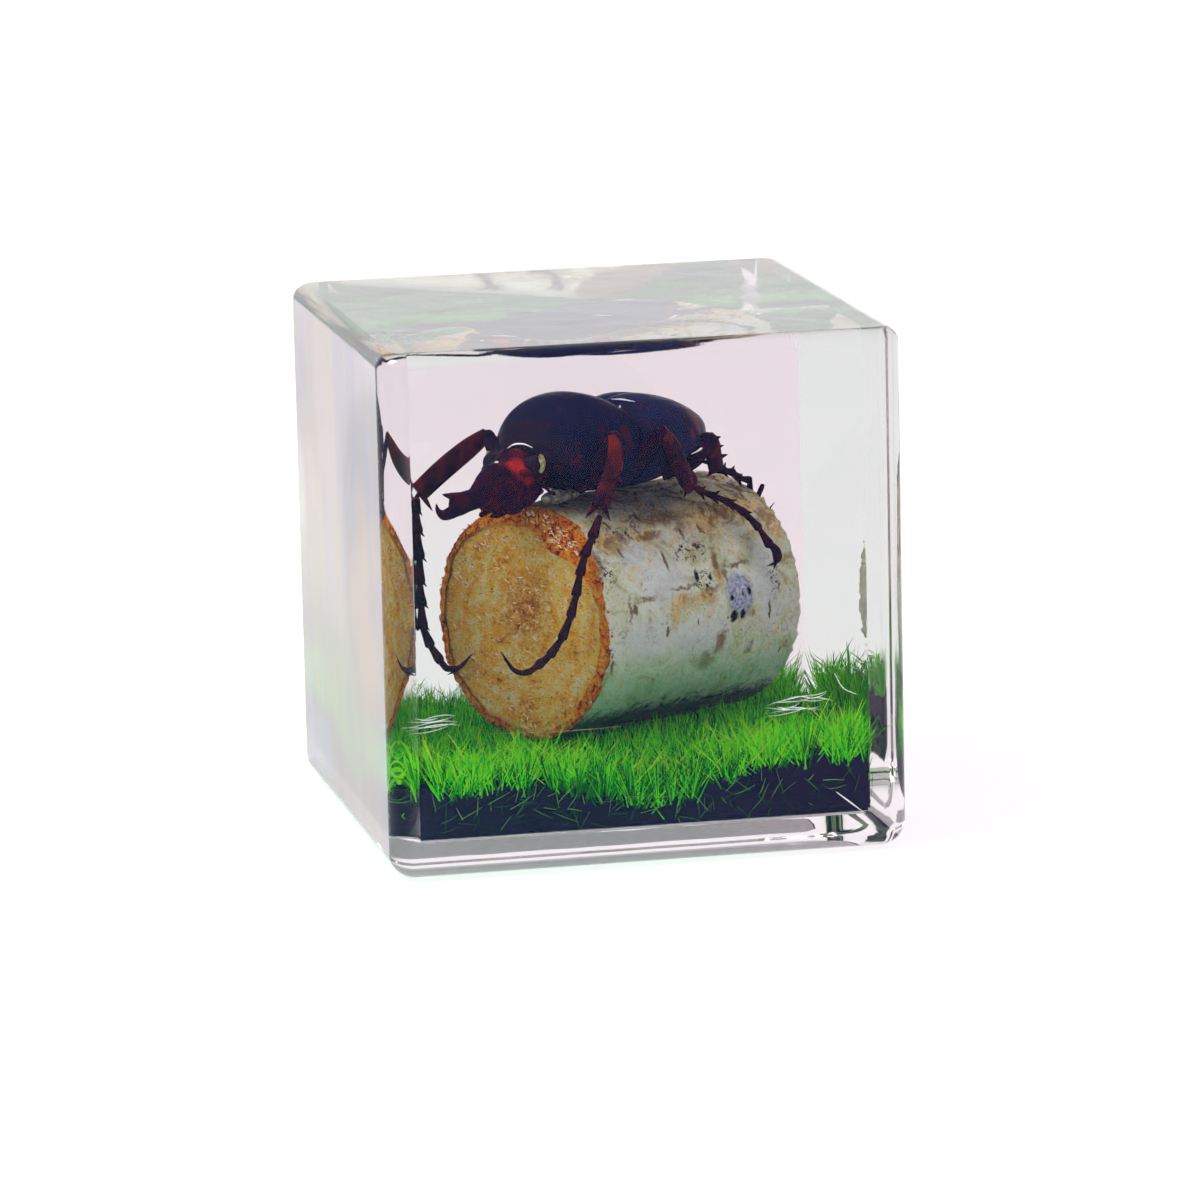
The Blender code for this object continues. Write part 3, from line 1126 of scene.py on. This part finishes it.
def add_white_bark(material):
    """The white outer bark, torn back from the front cut on top and frayed at both ends."""
    sides, along = 260, 84
    # the tears are read from noise on a circle of this radius
    drawn, thick = 17, 0.42
    outside = []
    for i in range(along + 1):
        share = i / along
        for a in around(sides):
            y, z = on_circle(drawn, a)
            torn = 0.12 + 0.62 * (rim_width(a) - 0.8)
            start = torn + 0.5 * rough(0, y, z, 0.7, 4.0) + 0.3 * rough(0, y, z, 2.2, 6.0)
            finish = LOG_LENGTH - 0.1 + 0.5 * rough(9, y, z, 0.8, 1.0) + 0.3 * rough(9, y, z, 2.4, 2.0)
            x = start + (finish - start) * share
            radius = bark_radius(x, a) + 0.07 * rough(x, y, z, 1.5, 1.0)
            ring = exp(-((share * along) / 1.5) ** 2) + exp(-(((1 - share) * along) / 1.5) ** 2)
            outside.append((x, y / drawn * (radius - 0.12 * ring), z / drawn * (radius - 0.12 * ring)))
    count = len(outside)
    inside = [(x, y * (1 - thick / LOG_RADIUS), z * (1 - thick / LOG_RADIUS)) for x, y, z in outside]
    body = Body()
    faces = [f[::-1] for f in ring_faces(along + 1, sides, capped=False)]
    faces += [tuple(count + i for i in reversed(f)) for f in faces[:along * sides]]
    for row, order in ((0, 1), (along, -1)):
        for j in range(sides):
            a, b = row * sides + j, row * sides + (j + 1) % sides
            quad = (a, b, count + b, count + a)
            faces.append(quad[::order])
    body.add(outside + inside, faces)
    # loose curls of papery bark
    rng = random.Random(5)
    curls = 46
    for _ in range(curls):
        a = rng.gauss(-0.55, 0.55)
        x = rng.uniform(2.0, LOG_LENGTH - 1)
        radius = bark_radius(x, a) + 0.06
        long, lift = rng.uniform(0.8, 3.0), rng.uniform(0.1, 0.5)
        path = []
        for k in range(4):
            b = a + (k / 3) * long / LOG_RADIUS
            r = radius + lift * (k / 3) ** 2
            path.append((x + 0.3 * k, *on_circle(r, b), rng.uniform(0.12, 0.4), 0.04))
        body.limb(path, 6, 2, (0, sin(a), cos(a)))
    body.piece("log_white_bark", material, "birch_bark", LOG_FRAME)


# ---------------------------------------------------------------- the beetle

# rows of x, half width, top, height of the side margin, bottom
PRONOTUM = [(-2.3, 0.8, 8.1, 7.8, 7.4), (-2.0, 2.6, 9.2, 7.8, 7.0), (-1.0, 4.1, 10.7, 7.4, 6.4),
    (0.4, 5.9, 12.2, 6.8, 5.4), (2.0, 7.6, 13.7, 5.9, 4.2), (4.0, 8.8, 14.7, 5.2, 2.9),
    (6.4, 9.6, 15.2, 4.7, 1.6), (9.0, 10.0, 15.3, 4.3, 0.9), (12.0, 9.9, 14.7, 4.3, 0.9),
    (14.8, 9.4, 13.6, 4.5, 1.2), (16.4, 8.6, 12.7, 4.8, 1.6), (17.3, 7.4, 11.8, 5.0, 2.4),
    (17.6, 3.0, 8.5, 5.4, 4.0)]
ABDOMEN = [(13.2, 2.0, 8.0, 5.4, 3.0), (13.8, 6.5, 10.6, 4.6, 1.2), (17.0, 8.6, 12.2, 4.0, 0.5),
    (21.0, 9.0, 12.9, 4.1, 0.9), (24.5, 8.4, 12.4, 4.4, 1.9), (27.5, 7.1, 11.6, 5.0, 3.0),
    (30.0, 5.7, 10.8, 5.6, 4.1), (32.5, 4.3, 9.8, 6.1, 5.1), (34.4, 2.9, 8.8, 6.5, 5.9),
    (35.6, 0.9, 7.6, 6.9, 6.6)]
# rows of x, half width, top, height of the side margin
WING_CASE = [(16.4, 7.4, 12.3, 5.9), (17.0, 8.9, 13.1, 5.5), (18.8, 9.9, 13.7, 5.2),
    (21.5, 10.3, 13.9, 5.0), (24.5, 9.8, 13.5, 5.1), (27.0, 8.9, 12.9, 5.4), (29.0, 7.8, 12.3, 5.7),
    (31.0, 6.5, 11.5, 6.0), (33.0, 5.1, 10.6, 6.4), (34.8, 3.6, 9.6, 6.8), (36.0, 2.3, 8.7, 7.1),
    (36.7, 0.9, 7.9, 7.3)]


def add_wing_case(name, side, material):
    """One wing case: a curved shell from the middle seam down to its side margin, with faint grooves."""
    rows = smooth_path(WING_CASE, 8)
    across, thick = 30, 0.4
    outside, inside = [], []
    for x, width, top, rim in rows:
        for j in range(across + 1):
            a = pi / 2 * j / across
            bulge_y, bulge_z = sin(a) ** 0.9, cos(a) ** 0.87
            groove = 0.05 * cos(a * 26) * sin(pi * min(1, j / across))
            seam = 0.1 * exp(-((j / 1.2) ** 2))
            grow = 1 + groove / 10
            y = side * (0.05 + (width - 0.05) * bulge_y * grow)
            z = rim + (top - rim) * bulge_z * grow - seam
            outside.append((x, y, z))
            inside.append((x, y * (1 - thick / 10) + side * 0.02, z - thick * (0.35 + 0.65 * bulge_z)))
    count = len(outside)
    cells, edge = grid(across, len(rows) - 1)
    faces = [(a, d, c, b) for a, b, c, d in cells]
    faces += [tuple(count + i for i in reversed(f)) for f in list(faces)]
    for i in range(len(edge)):
        a, b = edge[i], edge[(i + 1) % len(edge)]
        faces.append((a, b, count + b, count + a))
    if side < 0:
        faces = [f[::-1] for f in faces]
    add_piece(name, outside + inside, faces, material, BEETLE_FRAME)


def fuse(piece, voxel_mm, smooth_rounds):
    """Joins a piece's overlapping shapes into one skin and softens it."""
    mesh_again = piece.modifiers.new("fuse", "REMESH")
    mesh_again.mode = "VOXEL"
    mesh_again.voxel_size = voxel_mm * MM
    soften = piece.modifiers.new("soften", "SMOOTH")
    soften.iterations = smooth_rounds
    soften.factor = 0.5
    graph = bpy.context.evaluated_depsgraph_get()
    made = bpy.data.meshes.new_from_object(piece.evaluated_get(graph))
    piece.modifiers.clear()
    piece.data = made
    made.shade_smooth()


def add_head(material):
    """Head, cheeks, snout and the forked horn, as one skin."""
    body = Body()
    body.ball((-1.8, 0, 4.0), (3.5, 4.5, 4.6))
    body.ball((-5.3, 0, 2.4), (3.1, 3.5, 3.4))
    body.ball((-4.3, 0, 4.4), (3.1, 3.2, 2.6))
    body.ball((0.8, 0, 5.2), (2.6, 3.6, 3.2))
    for side in (-1, 1):
        body.ball((-2.9, side * 3.7, 5.3), (1.9, 1.1, 0.8))
        body.ball((-4.9, side * 2.2, 0.6), (2.2, 1.3, 1.5))
    horn = [(-3.6, 0, 4.4, 2.2, 2.6), (-6.0, 0, 3.8, 2.0, 2.9), (-7.6, 0, 3.2, 1.8, 2.7),
        (-9.0, 0, 2.55, 1.6, 2.1), (-10.4, 0, 2.0, 1.45, 1.6), (-12.0, 0, 1.8, 1.3, 1.6),
        (-13.5, 0, 1.55, 1.15, 1.7), (-14.9, 0, 1.5, 0.95, 1.55)]
    body.limb(horn, 18, 5)
    upper = [(-13.6, 0, 2.5, 0.8, 0.85), (-15.0, 0, 2.85, 0.55, 0.6), (-16.0, 0, 3.1, 0.34, 0.36),
             (-17.1, 0, 3.4, 0.1, 0.1)]
    body.limb(upper, 12, 4)
    hook = [(-14.0, 0, 0.9, 0.9, 1.1), (-15.6, 0, 0.5, 0.75, 0.95), (-16.8, 0, 0.4, 0.6, 0.78),
            (-17.65, 0, 0.85, 0.45, 0.52), (-18.1, 0, 1.5, 0.28, 0.32), (-18.2, 0, 2.3, 0.09, 0.09)]
    body.limb(hook, 12, 5)
    head = body.piece("beetle_head", material, "beetle_legs", BEETLE_FRAME)
    fuse(head, 0.13, 7)


def add_mouthparts(material):
    """Jaws, palps and the two short clubbed feelers under the head."""
    body = Body()
    for side in (-1, 1):
        body.limb([(-6.0, side * 1.6, -0.3, 0.6, 0.5), (-7.4, side * 1.5, -0.7, 0.5, 0.4),
            (-8.2, side * 0.8, -0.8, 0.25, 0.2)], 8, 3)
        body.ball((-4.4, side * 1.7, -0.2), (1.1, 0.8, 0.7), 10, 16)
        body.limb([(-1.6, side * 3.9, 3.4, 0.3, 0.3), (-0.6, side * 4.8, 2.6, 0.26, 0.26),
            (0.2, side * 5.0, 1.9, 0.24, 0.24)], 6, 3)
        for k in range(3):
            body.limb([(0.2, side * (4.9 + 0.22 * k), 1.9, 0.3, 0.12),
                (0.6, side * (5.0 + 0.25 * k), 1.2, 0.42, 0.13),
                (0.8, side * (5.0 + 0.25 * k), 0.6, 0.2, 0.1)], 8, 3, (0, 1, 0))
    body.piece("beetle_mouthparts", material, "beetle_legs", BEETLE_FRAME)


def add_membrane(material):
    """The soft skin of the neck and of the breast between the front legs."""
    body = Body()
    for side in (-1, 1):
        body.ball((1.6, side * 4.6, 1.1), (2.9, 1.2, 1.0), 12, 20)
        body.ball((5.2, side * 3.6, 1.0), (2.0, 1.5, 0.7), 12, 20)
    body.piece("beetle_membrane", material, "beetle_legs", BEETLE_FRAME)


def add_eyes(material):
    """The two round eyes at the sides of the head."""
    body = Body()
    for side in (-1, 1):
        body.ball((-2.3, side * 4.1, 6.1), (1.5, 1.3, 1.5), 16, 28)
    body.piece("beetle_eyes", material, "beetle_shell", BEETLE_FRAME)


def add_painted_gleam_air_films(material, olive):
    """Slivers of trapped air along the shell's seams, pale and glowing as painted gleams, a painted highlight
    on the head, and the painted glint round each eye.
    """
    # pale glowing slivers along the seams: painted gleams
    seams = {
        "collar": [(-2.7, 1.2, 8.0), (-2.5, -0.4, 8.9), (-2.0, -1.9, 9.0), (-1.6, -3.3, 8.5)],
        "wing_base": [(16.1, -2.3, 13.5), (16.9, -3.8, 13.45), (17.9, -5.3, 13.1)],
        "scutellum": [(15.6, -4.5, 12.8), (15.8, -4.2, 12.4), (16.0, -3.9, 12.0)],
        "wing_edge": [(24.5, -10.1, 4.9), (27.4, -9.1, 5.2), (30.0, -7.6, 5.7), (31.8, -6.3, 6.0)],
        "belly_edge": [(26.4, -8.3, 3.3), (28.8, -6.8, 3.9), (31.4, -5.0, 5.0)],
    }
    body = Body()
    for points in seams.values():
        thick = [0.04] + [0.2] * (len(points) - 2) + [0.04]
        body.limb([(*p, t, 0.5 * t) for p, t in zip(points, thick)], 8, 6)
    # a painted highlight on the head
    body.ball((-5.75, -0.1, 6.62), (0.35, 0.3, 0.28), 8, 12)
    body.piece("beetle_painted_gleam_air_films", material, "beetle_shell", BEETLE_FRAME)
    glints = Body()
    # a pale olive crescent on each eye: a painted glint
    for side in (-1, 1):
        arc = []
        for k in range(7):
            a = radians(-70 + 140 * k / 6)
            thick = 0.08 + 0.62 * cos(a)
            arc.append((-2.55 + 0.8 * cos(a), side * 5.25, 6.35 + 1.25 * sin(a), thick,
                0.35 * thick))
        glints.limb(arc, 8, 3, (0, side, 0))
    glints.piece("beetle_eye_glints", olive, "beetle_shell", BEETLE_FRAME)


LEGS = {
    # each: thigh, shin, foot joints, claw tips, shin teeth and spurs, in the beetle's frame
    "left_front": dict(
        thigh=[(7.0, -4.2, 1.8), (6.2, -8.8, 4.9), (5.4, -12.6, 9.5)],
        shin=[(5.3, -12.8, 9.9), (4.7, -13.5, 6.2), (2.6, -13.7, 2.6), (1.2, -13.6, 0.0)],
        foot=[(1.2, -13.6, -1.2), (-0.8, -14.0, -3.9), (-2.5, -13.9, -6.4), (-2.6, -13.0, -9.2),
              (-2.9, -12.4, -12.2), (-3.5, -11.8, -15.2), (-3.9, -10.4, -18.4), (-4.9, -8.9, -20.8),
              (-5.9, -7.6, -22.1)],
        claws=[((-6.8, -6.2, -23.2), (-8.4, -5.0, -22.7), (-10.0, -4.0, -19.8)),
               ((-7.0, -6.8, -22.9), (-8.9, -6.2, -22.9), (-11.1, -5.6, -20.7))],
        teeth=[((4.4, -13.9, 4.5), (4.2, -15.4, 3.2)), ((2.8, -14.2, 2.2), (2.6, -15.6, 0.7)),
               ((1.4, -14.2, 0.4), (1.7, -15.2, -1.9)), ((0.7, -13.2, 0.3), (-0.6, -12.4, -1.4))],
    ),
    "right_front": dict(
        thigh=[(7.0, 4.2, 1.8), (4.9, 8.4, 5.4), (4.7, 11.6, 8.6)],
        shin=[(4.9, 11.9, 9.0), (2.4, 13.6, 7.0), (-1.2, 15.4, 4.2), (-4.4, 16.9, 1.4)],
        foot=[(-4.7, 17.0, 0.6), (-4.8, 17.2, -1.3), (-5.0, 16.8, -4.3), (-5.2, 16.4, -7.9),
              (-5.3, 16.4, -11.5), (-4.9, 16.6, -14.9), (-4.8, 16.6, -18.1), (-3.9, 16.0, -21.0),
              (-2.7, 15.4, -23.1)],
        claws=[((-2.3, 14.2, -24.3), (-1.5, 12.4, -24.1), (-0.6, 10.6, -22.1)),
               ((-1.9, 14.8, -24.5), (-1.1, 13.4, -24.5), (0.0, 12.2, -23.4))],
        teeth=[((1.2, 14.2, 6.0), (0.8, 15.9, 5.4)), ((-1.4, 15.5, 4.0), (-1.8, 17.2, 3.1)),
               ((-4.1, 16.7, 1.5), (-4.4, 18.3, 0.0)), ((-4.2, 16.5, 1.2), (-3.0, 15.6, -1.4))],
    ),
    "left_middle": dict(
        thigh=[(13.5, -4.8, 1.8), (14.8, -8.6, 5.0), (16.4, -11.6, 9.0)],
        shin=[(16.6, -11.7, 9.3), (18.6, -11.8, 6.6), (22.0, -10.6, 2.8), (24.8, -9.6, 0.5)],
        foot=[(25.4, -9.5, 0.1), (27.2, -9.6, -0.9), (29.3, -10.3, -1.8), (31.2, -11.7, -3.0),
              (32.6, -13.3, -4.6), (33.6, -15.0, -6.8), (34.2, -16.2, -8.9)],
        claws=[((35.2, -17.0, -10.0), (34.8, -17.4, -11.4), (32.6, -17.3, -12.0)),
               ((34.2, -17.3, -9.8), (33.8, -17.9, -11.2), (33.0, -18.2, -12.4))],
        teeth=[((20.6, -11.2, 4.6), (22.0, -11.0, 4.9)), ((23.8, -10.0, 1.6), (24.4, -11.6, -0.6)),
               ((24.6, -9.6, 0.9), (23.8, -9.2, -1.4)), ((24.9, -9.4, 0.9), (26.6, -8.4, 0.4))],
    ),
    "right_middle": dict(
        thigh=[(13.5, 4.8, 1.8), (14.6, 8.8, 4.8), (15.6, 12.0, 8.4)],
        shin=[(15.7, 12.2, 8.7), (17.4, 12.8, 5.8), (19.6, 12.6, 2.0), (21.2, 12.4, -1.6)],
        foot=[(21.4, 12.5, -2.2), (22.8, 13.4, -4.0), (24.4, 14.6, -6.2), (25.8, 15.6, -8.6),
              (26.8, 16.6, -11.0), (27.4, 17.4, -13.2)],
        claws=[((28.2, 17.9, -14.8), (28.2, 18.1, -16.4), (27.2, 18.0, -17.8)),
               ((27.2, 17.9, -14.8), (26.4, 18.2, -16.4), (25.2, 18.3, -17.2))],
        teeth=[((18.8, 12.8, 3.2), (18.8, 14.4, 2.4)), ((20.8, 12.6, -0.8), (21.6, 14.0, -2.6)),
               ((21.0, 12.2, -1.0), (19.8, 11.6, -2.9))],
    ),
    "left_hind": dict(
        thigh=[(24.0, -4.6, 1.8), (27.4, -7.4, 3.6), (30.4, -7.8, 6.4)],
        shin=[(30.7, -7.8, 6.9), (31.3, -7.9, 5.6), (32.0, -7.6, 3.8), (33.0, -7.1, 1.9)],
        foot=[(33.4, -7.0, 1.3), (35.4, -6.6, 1.2), (37.6, -6.2, 0.6), (39.4, -5.9, -0.5), (41.2, -5.6, -2.4),
              (42.0, -5.4, -4.8)],
        claws=[((42.3, -5.0, -6.4), (41.9, -4.6, -7.8), (41.2, -4.4, -8.6)),
               ((42.3, -6.0, -6.3), (42.1, -6.6, -7.6), (41.4, -7.0, -8.4))],
        teeth=[((31.2, -8.1, 6.4), (32.6, -8.6, 6.6)), ((31.7, -8.0, 5.0), (33.3, -8.5, 5.2)),
               ((32.4, -7.8, 3.4), (34.5, -8.2, 3.7)), ((32.0, -7.2, 2.8), (29.9, -6.9, 3.0)),
               ((32.6, -7.0, 1.8), (31.4, -6.7, 0.6))],
    ),
    "right_hind": dict(
        thigh=[(24.0, 4.6, 1.8), (26.4, 7.8, 5.0), (28.6, 10.2, 8.2)],
        shin=[(28.8, 10.4, 8.6), (30.2, 11.2, 5.6), (31.6, 11.4, 2.4), (32.8, 11.2, -0.8)],
        foot=[(33.2, 11.3, -1.6), (34.8, 12.2, -3.4), (36.2, 13.2, -5.4), (37.4, 14.2, -7.6),
              (38.2, 15.2, -9.8)],
        claws=[((39.0, 16.0, -11.2), (39.2, 16.6, -12.8), (38.4, 17.0, -14.0)),
               ((38.0, 16.4, -11.0), (37.6, 17.2, -12.4), (36.6, 17.6, -13.4))],
        teeth=[((31.0, 11.4, 3.8), (31.8, 13.0, 3.4)), ((32.4, 11.4, 0.2), (33.6, 12.8, -0.8)),
               ((32.2, 11.0, 0.0), (31.0, 10.2, -1.6))],
    ),
}


def off_the_bark(point, gap):
    """The point, moved straight out from the log's middle line until it clears the bark by the gap."""
    x, y, z = point
    aside, above = y - BEETLE_SHIFT, z + LOG_RADIUS
    away = hypot(aside, above)
    if away >= LOG_RADIUS + gap or not -0.5 < x < LOG_LENGTH + 0.5:
        return (x, y, z)
    grow = (LOG_RADIUS + gap) / away
    return (x, aside * grow + BEETLE_SHIFT, above * grow - LOG_RADIUS)


def add_leg(name, parts, red, dark, thigh_red):
    """One leg: a thick thigh, a flat toothed shin, and a jointed foot with two long claws."""
    side = -1 if name.startswith("left") else 1
    thigh = Body()
    a, b, c = parts["thigh"]
    thigh.limb([(*a, 1.1, 1.0), (*b, 1.9, 1.35), (*c, 1.05, 0.95)], 14, 8)
    thigh.ball(c, (1.12, 1.0, 1.12), 10, 16)
    thigh.piece("beetle_" + name + "_thigh", thigh_red, "beetle_legs", BEETLE_FRAME)

    shin = Body()
    path = [(*p, w, 0.6 * w) for p, w in zip(parts["shin"], (1.1, 1.65, 1.7, 1.65))]
    shin.limb(path, 14, 8, (0.2, side, 0.1))
    for base, tip in parts["teeth"]:
        shin.spine(base, tip, 0.5, 7)
    shin.piece("beetle_" + name + "_shin", red, "beetle_legs", BEETLE_FRAME)

    lower = Body()
    joints = [np.array(off_the_bark(p, 0.6)) for p in parts["foot"]]
    last = len(joints) - 2
    for i in range(last + 1):
        here, there = joints[i], joints[i + 1]
        thick = 0.74 if name.endswith("front") else 0.62
        way = (there - here) / np.linalg.norm(there - here)
        middle, swell, tip = here + 0.5 * (there - here), there - 0.15 * way, there + 0.15 * way
        path = [(*here, 0.62 * thick, 0.6 * thick), (*middle, 0.85 * thick, 0.8 * thick),
                (*swell, 1.2 * thick, 1.0 * thick), (*tip, 0.6 * thick, 0.6 * thick)]
        lower.limb(path, 10, 3)
        if i < last - 1:
            across = np.cross(way, (0.3, side, 0.2))
            across /= np.linalg.norm(across)
            for turn in (-1, 1):
                tip = there + 0.75 * way + turn * 1.15 * across
                lower.spine(there - 0.25 * way + turn * 0.3 * across, tip, 0.3, 6)
    end = joints[-1]
    lower.ball(end, (0.72, 0.72, 0.75), 8, 12)
    for claw in parts["claws"]:
        sizes = (0.55, 0.5, 0.4, 0.05)
        path = [(*off_the_bark(p, 0.5), w, w * 0.85) for p, w in zip((tuple(end), *claw), sizes)]
        lower.limb(path, 10, 5)
    lower.piece("beetle_" + name + "_foot", dark, "beetle_legs", BEETLE_FRAME)


def add_beetle(air, olive):
    """All the beetle's pieces. `air` is for its glowing films of air, painted gleams, and `olive` for the
    painted glint round each eye.
    """
    shell = shell_finish()
    # the spots listed for the red finishes are painted glow of light through thin shell
    red = red_finish("beetle_red", (0.014, 0.005, 0.02), (0.06, 0.01, 0.018), (0.2, 0.022, 0.016),
                     [((5.0, -13.6, 8.6), 3.0), ((16.6, -11.9, 9.2), 1.4)])
    head_red = red_finish("beetle_head_red", (0.007, 0.003, 0.022), (0.034, 0.004, 0.016),
        (0.13, 0.011, 0.012), [((-3.9, -2.9, 5.6), 2.0), ((-4.4, -2.2, 6.2), 1.6),
        ((-3.0, -3.4, 4.0), 1.2)], (0.42, 0.022, 0.014))
    dark = red_finish("beetle_foot_dark", (0.007, 0.003, 0.014), (0.032, 0.005, 0.012), (0.1, 0.01, 0.01))
    thigh_red = red_finish("beetle_thigh", (0.008, 0.005, 0.026), (0.022, 0.006, 0.024), (0.06, 0.01, 0.02))
    chest = Body()
    chest.loft(PRONOTUM, 72, 7)
    chest.piece("beetle_pronotum", shell, "beetle_shell", BEETLE_FRAME)
    belly = Body()
    belly.loft(ABDOMEN, 64, 6)
    belly.piece("beetle_abdomen", shell, "beetle_shell", BEETLE_FRAME)
    add_wing_case("beetle_left_wing_case", -1, shell)
    add_wing_case("beetle_right_wing_case", 1, shell)
    add_head(head_red)
    add_mouthparts(dark)
    add_membrane(membrane_finish())
    add_eyes(shell)
    add_painted_gleam_air_films(air, olive)
    for name, parts in LEGS.items():
        add_leg(name, parts, red, dark, thigh_red)


# ---------------------------------------------------------------- stage

def add_floor():
    """A wide flat floor, a hair below the block."""
    half, height = 4000 * MM, -0.2 * MM
    mesh = bpy.data.meshes.new("floor")
    corners = [(-half, -half, height), (half, -half, height), (half, half, height), (-half, half, height)]
    mesh.from_pydata(corners, [], [(0, 1, 2, 3)])
    mesh.materials.append(floor_finish())
    floor = link_object("floor", mesh)


def add_world():
    """A soft white studio all round, brighter above, and brightest low down behind the block."""
    world = bpy.data.worlds.new("studio")
    world.use_nodes = True
    tree = world.node_tree

    def span(value, numbers):
        node = tree.nodes.new("ShaderNodeMapRange")
        node.interpolation_type = "SMOOTHSTEP"
        for socket, number in zip(list(node.inputs)[1:5], numbers):
            socket.default_value = number
        tree.links.new(value, node.inputs[0])
        return node.outputs[0]

    def join(operation, first, second):
        node = tree.nodes.new("ShaderNodeMath")
        node.operation = operation
        tree.links.new(first, node.inputs[0])
        tree.links.new(second, node.inputs[1])
        return node.outputs[0]

    where = tree.nodes.new("ShaderNodeTexCoord")
    split = tree.nodes.new("ShaderNodeSeparateXYZ")
    tree.links.new(where.outputs["Generated"], split.inputs[0])
    _, depth, height = split.outputs
    overhead = span(height, (-0.1, 1.0, 0.75, 1.05))
    behind = join("MULTIPLY", span(depth, (0.2, 0.95, 0.0, 0.55)), span(height, (0.25, 0.7, 1.0, 0.0)))
    background = tree.nodes["Background"]
    background.inputs["Color"].default_value = (1.0, 0.985, 1.0, 1.0)
    tree.links.new(join("ADD", overhead, behind), background.inputs["Strength"])
    bpy.context.scene.world = world


def add_key_lamp():
    """One square soft lamp, high on the left, that looks at the block."""
    place, target = Vector((-0.5, -0.15, 0.8)), Vector((0.0, 0.0, 0.04))
    data = bpy.data.lights.new("key", "AREA")
    data.size = 0.4
    data.energy = 4.8
    data.spread = radians(120.0)
    turn = (target - place).to_track_quat("-Z", "Y").to_matrix().to_4x4()
    link_object("key", data).matrix_world = Matrix.Translation(place) @ turn


def set_film():
    """Plain film with a slightly crushed black, and enough bounces for light to leave the resin."""
    scene = bpy.context.scene
    view = scene.view_settings
    view.view_transform = "Standard"
    view.use_curve_mapping = True
    view.curve_mapping.black_level = (0.038, 0.034, 0.024)
    view.curve_mapping.update()
    scene.cycles.max_bounces = 32
    scene.cycles.glossy_bounces = 24
    scene.cycles.transmission_bounces = 32


def add_camera():
    """A long lens, to the front left of the block and a little above it."""
    azimuth, elevation, roll = radians(-11.84), radians(11.14), radians(-1.31)
    place = Vector((-0.20252, -0.97004, 0.22644))
    data = bpy.data.cameras.new("camera")
    data.sensor_width = 36.0
    data.lens = 207.8
    data.clip_start = 0.05
    camera = link_object("camera", data)
    turn = Matrix.Rotation(azimuth, 4, "Z") @ Matrix.Rotation(pi / 2 - elevation, 4, "X")
    camera.matrix_world = Matrix.Translation(place) @ turn @ Matrix.Rotation(roll, 4, "Z")
    bpy.context.scene.camera = camera


# ---------------------------------------------------------------- build

def main():
    """The whole scene, piece by piece."""
    add_camera()
    add_world()
    add_key_lamp()
    add_floor()
    set_film()
    add_resin()
    add_inner_casting()
    add_turf_backing()
    add_underlay(underlay_finish())
    grass = grass_finish("grass_green", (0.006, 0.18, 0.002), (0.05, 0.92, 0.001), (0.3, 1.0, 0.003),
        10.5, 18.0)
    grow_grass("grass_front", 420, 1, -TURF_HALF + 0.3, -14.0, grass, 7.6, 1.1)
    grow_grass("grass_middle", 620, 2, -14.0, 10.0, grass, 8.5, 0.45)
    grow_grass("grass_back", 700, 3, 10.0, TURF_HALF - 0.3, grass, 9.0, 0.35)
    add_fringe(grass)
    bright = grass_finish("grass_bright", (0.01, 0.3, 0.001), (0.14, 0.85, 0.002), (0.5, 1.0, 0.03), 9.0,
        15.0)
    add_crossing_blades(bright)
    loose = grass_finish("grass_dull", (0.006, 0.05, 0.02), (0.03, 0.22, 0.04), (0.2, 0.6, 0.1), 4.0, 14.0)
    gleam = gleam_finish()
    add_loose_fibres(loose, gleam)
    olive = olive_finish()
    add_gleam_streaks(gleam, olive)
    add_wood(wood_finish())
    add_wood_glints(painted_glint_fibre_finish())
    add_inner_bark(inner_bark_finish())
    add_white_bark(bark_finish())
    add_beetle(gleam, olive)


main()
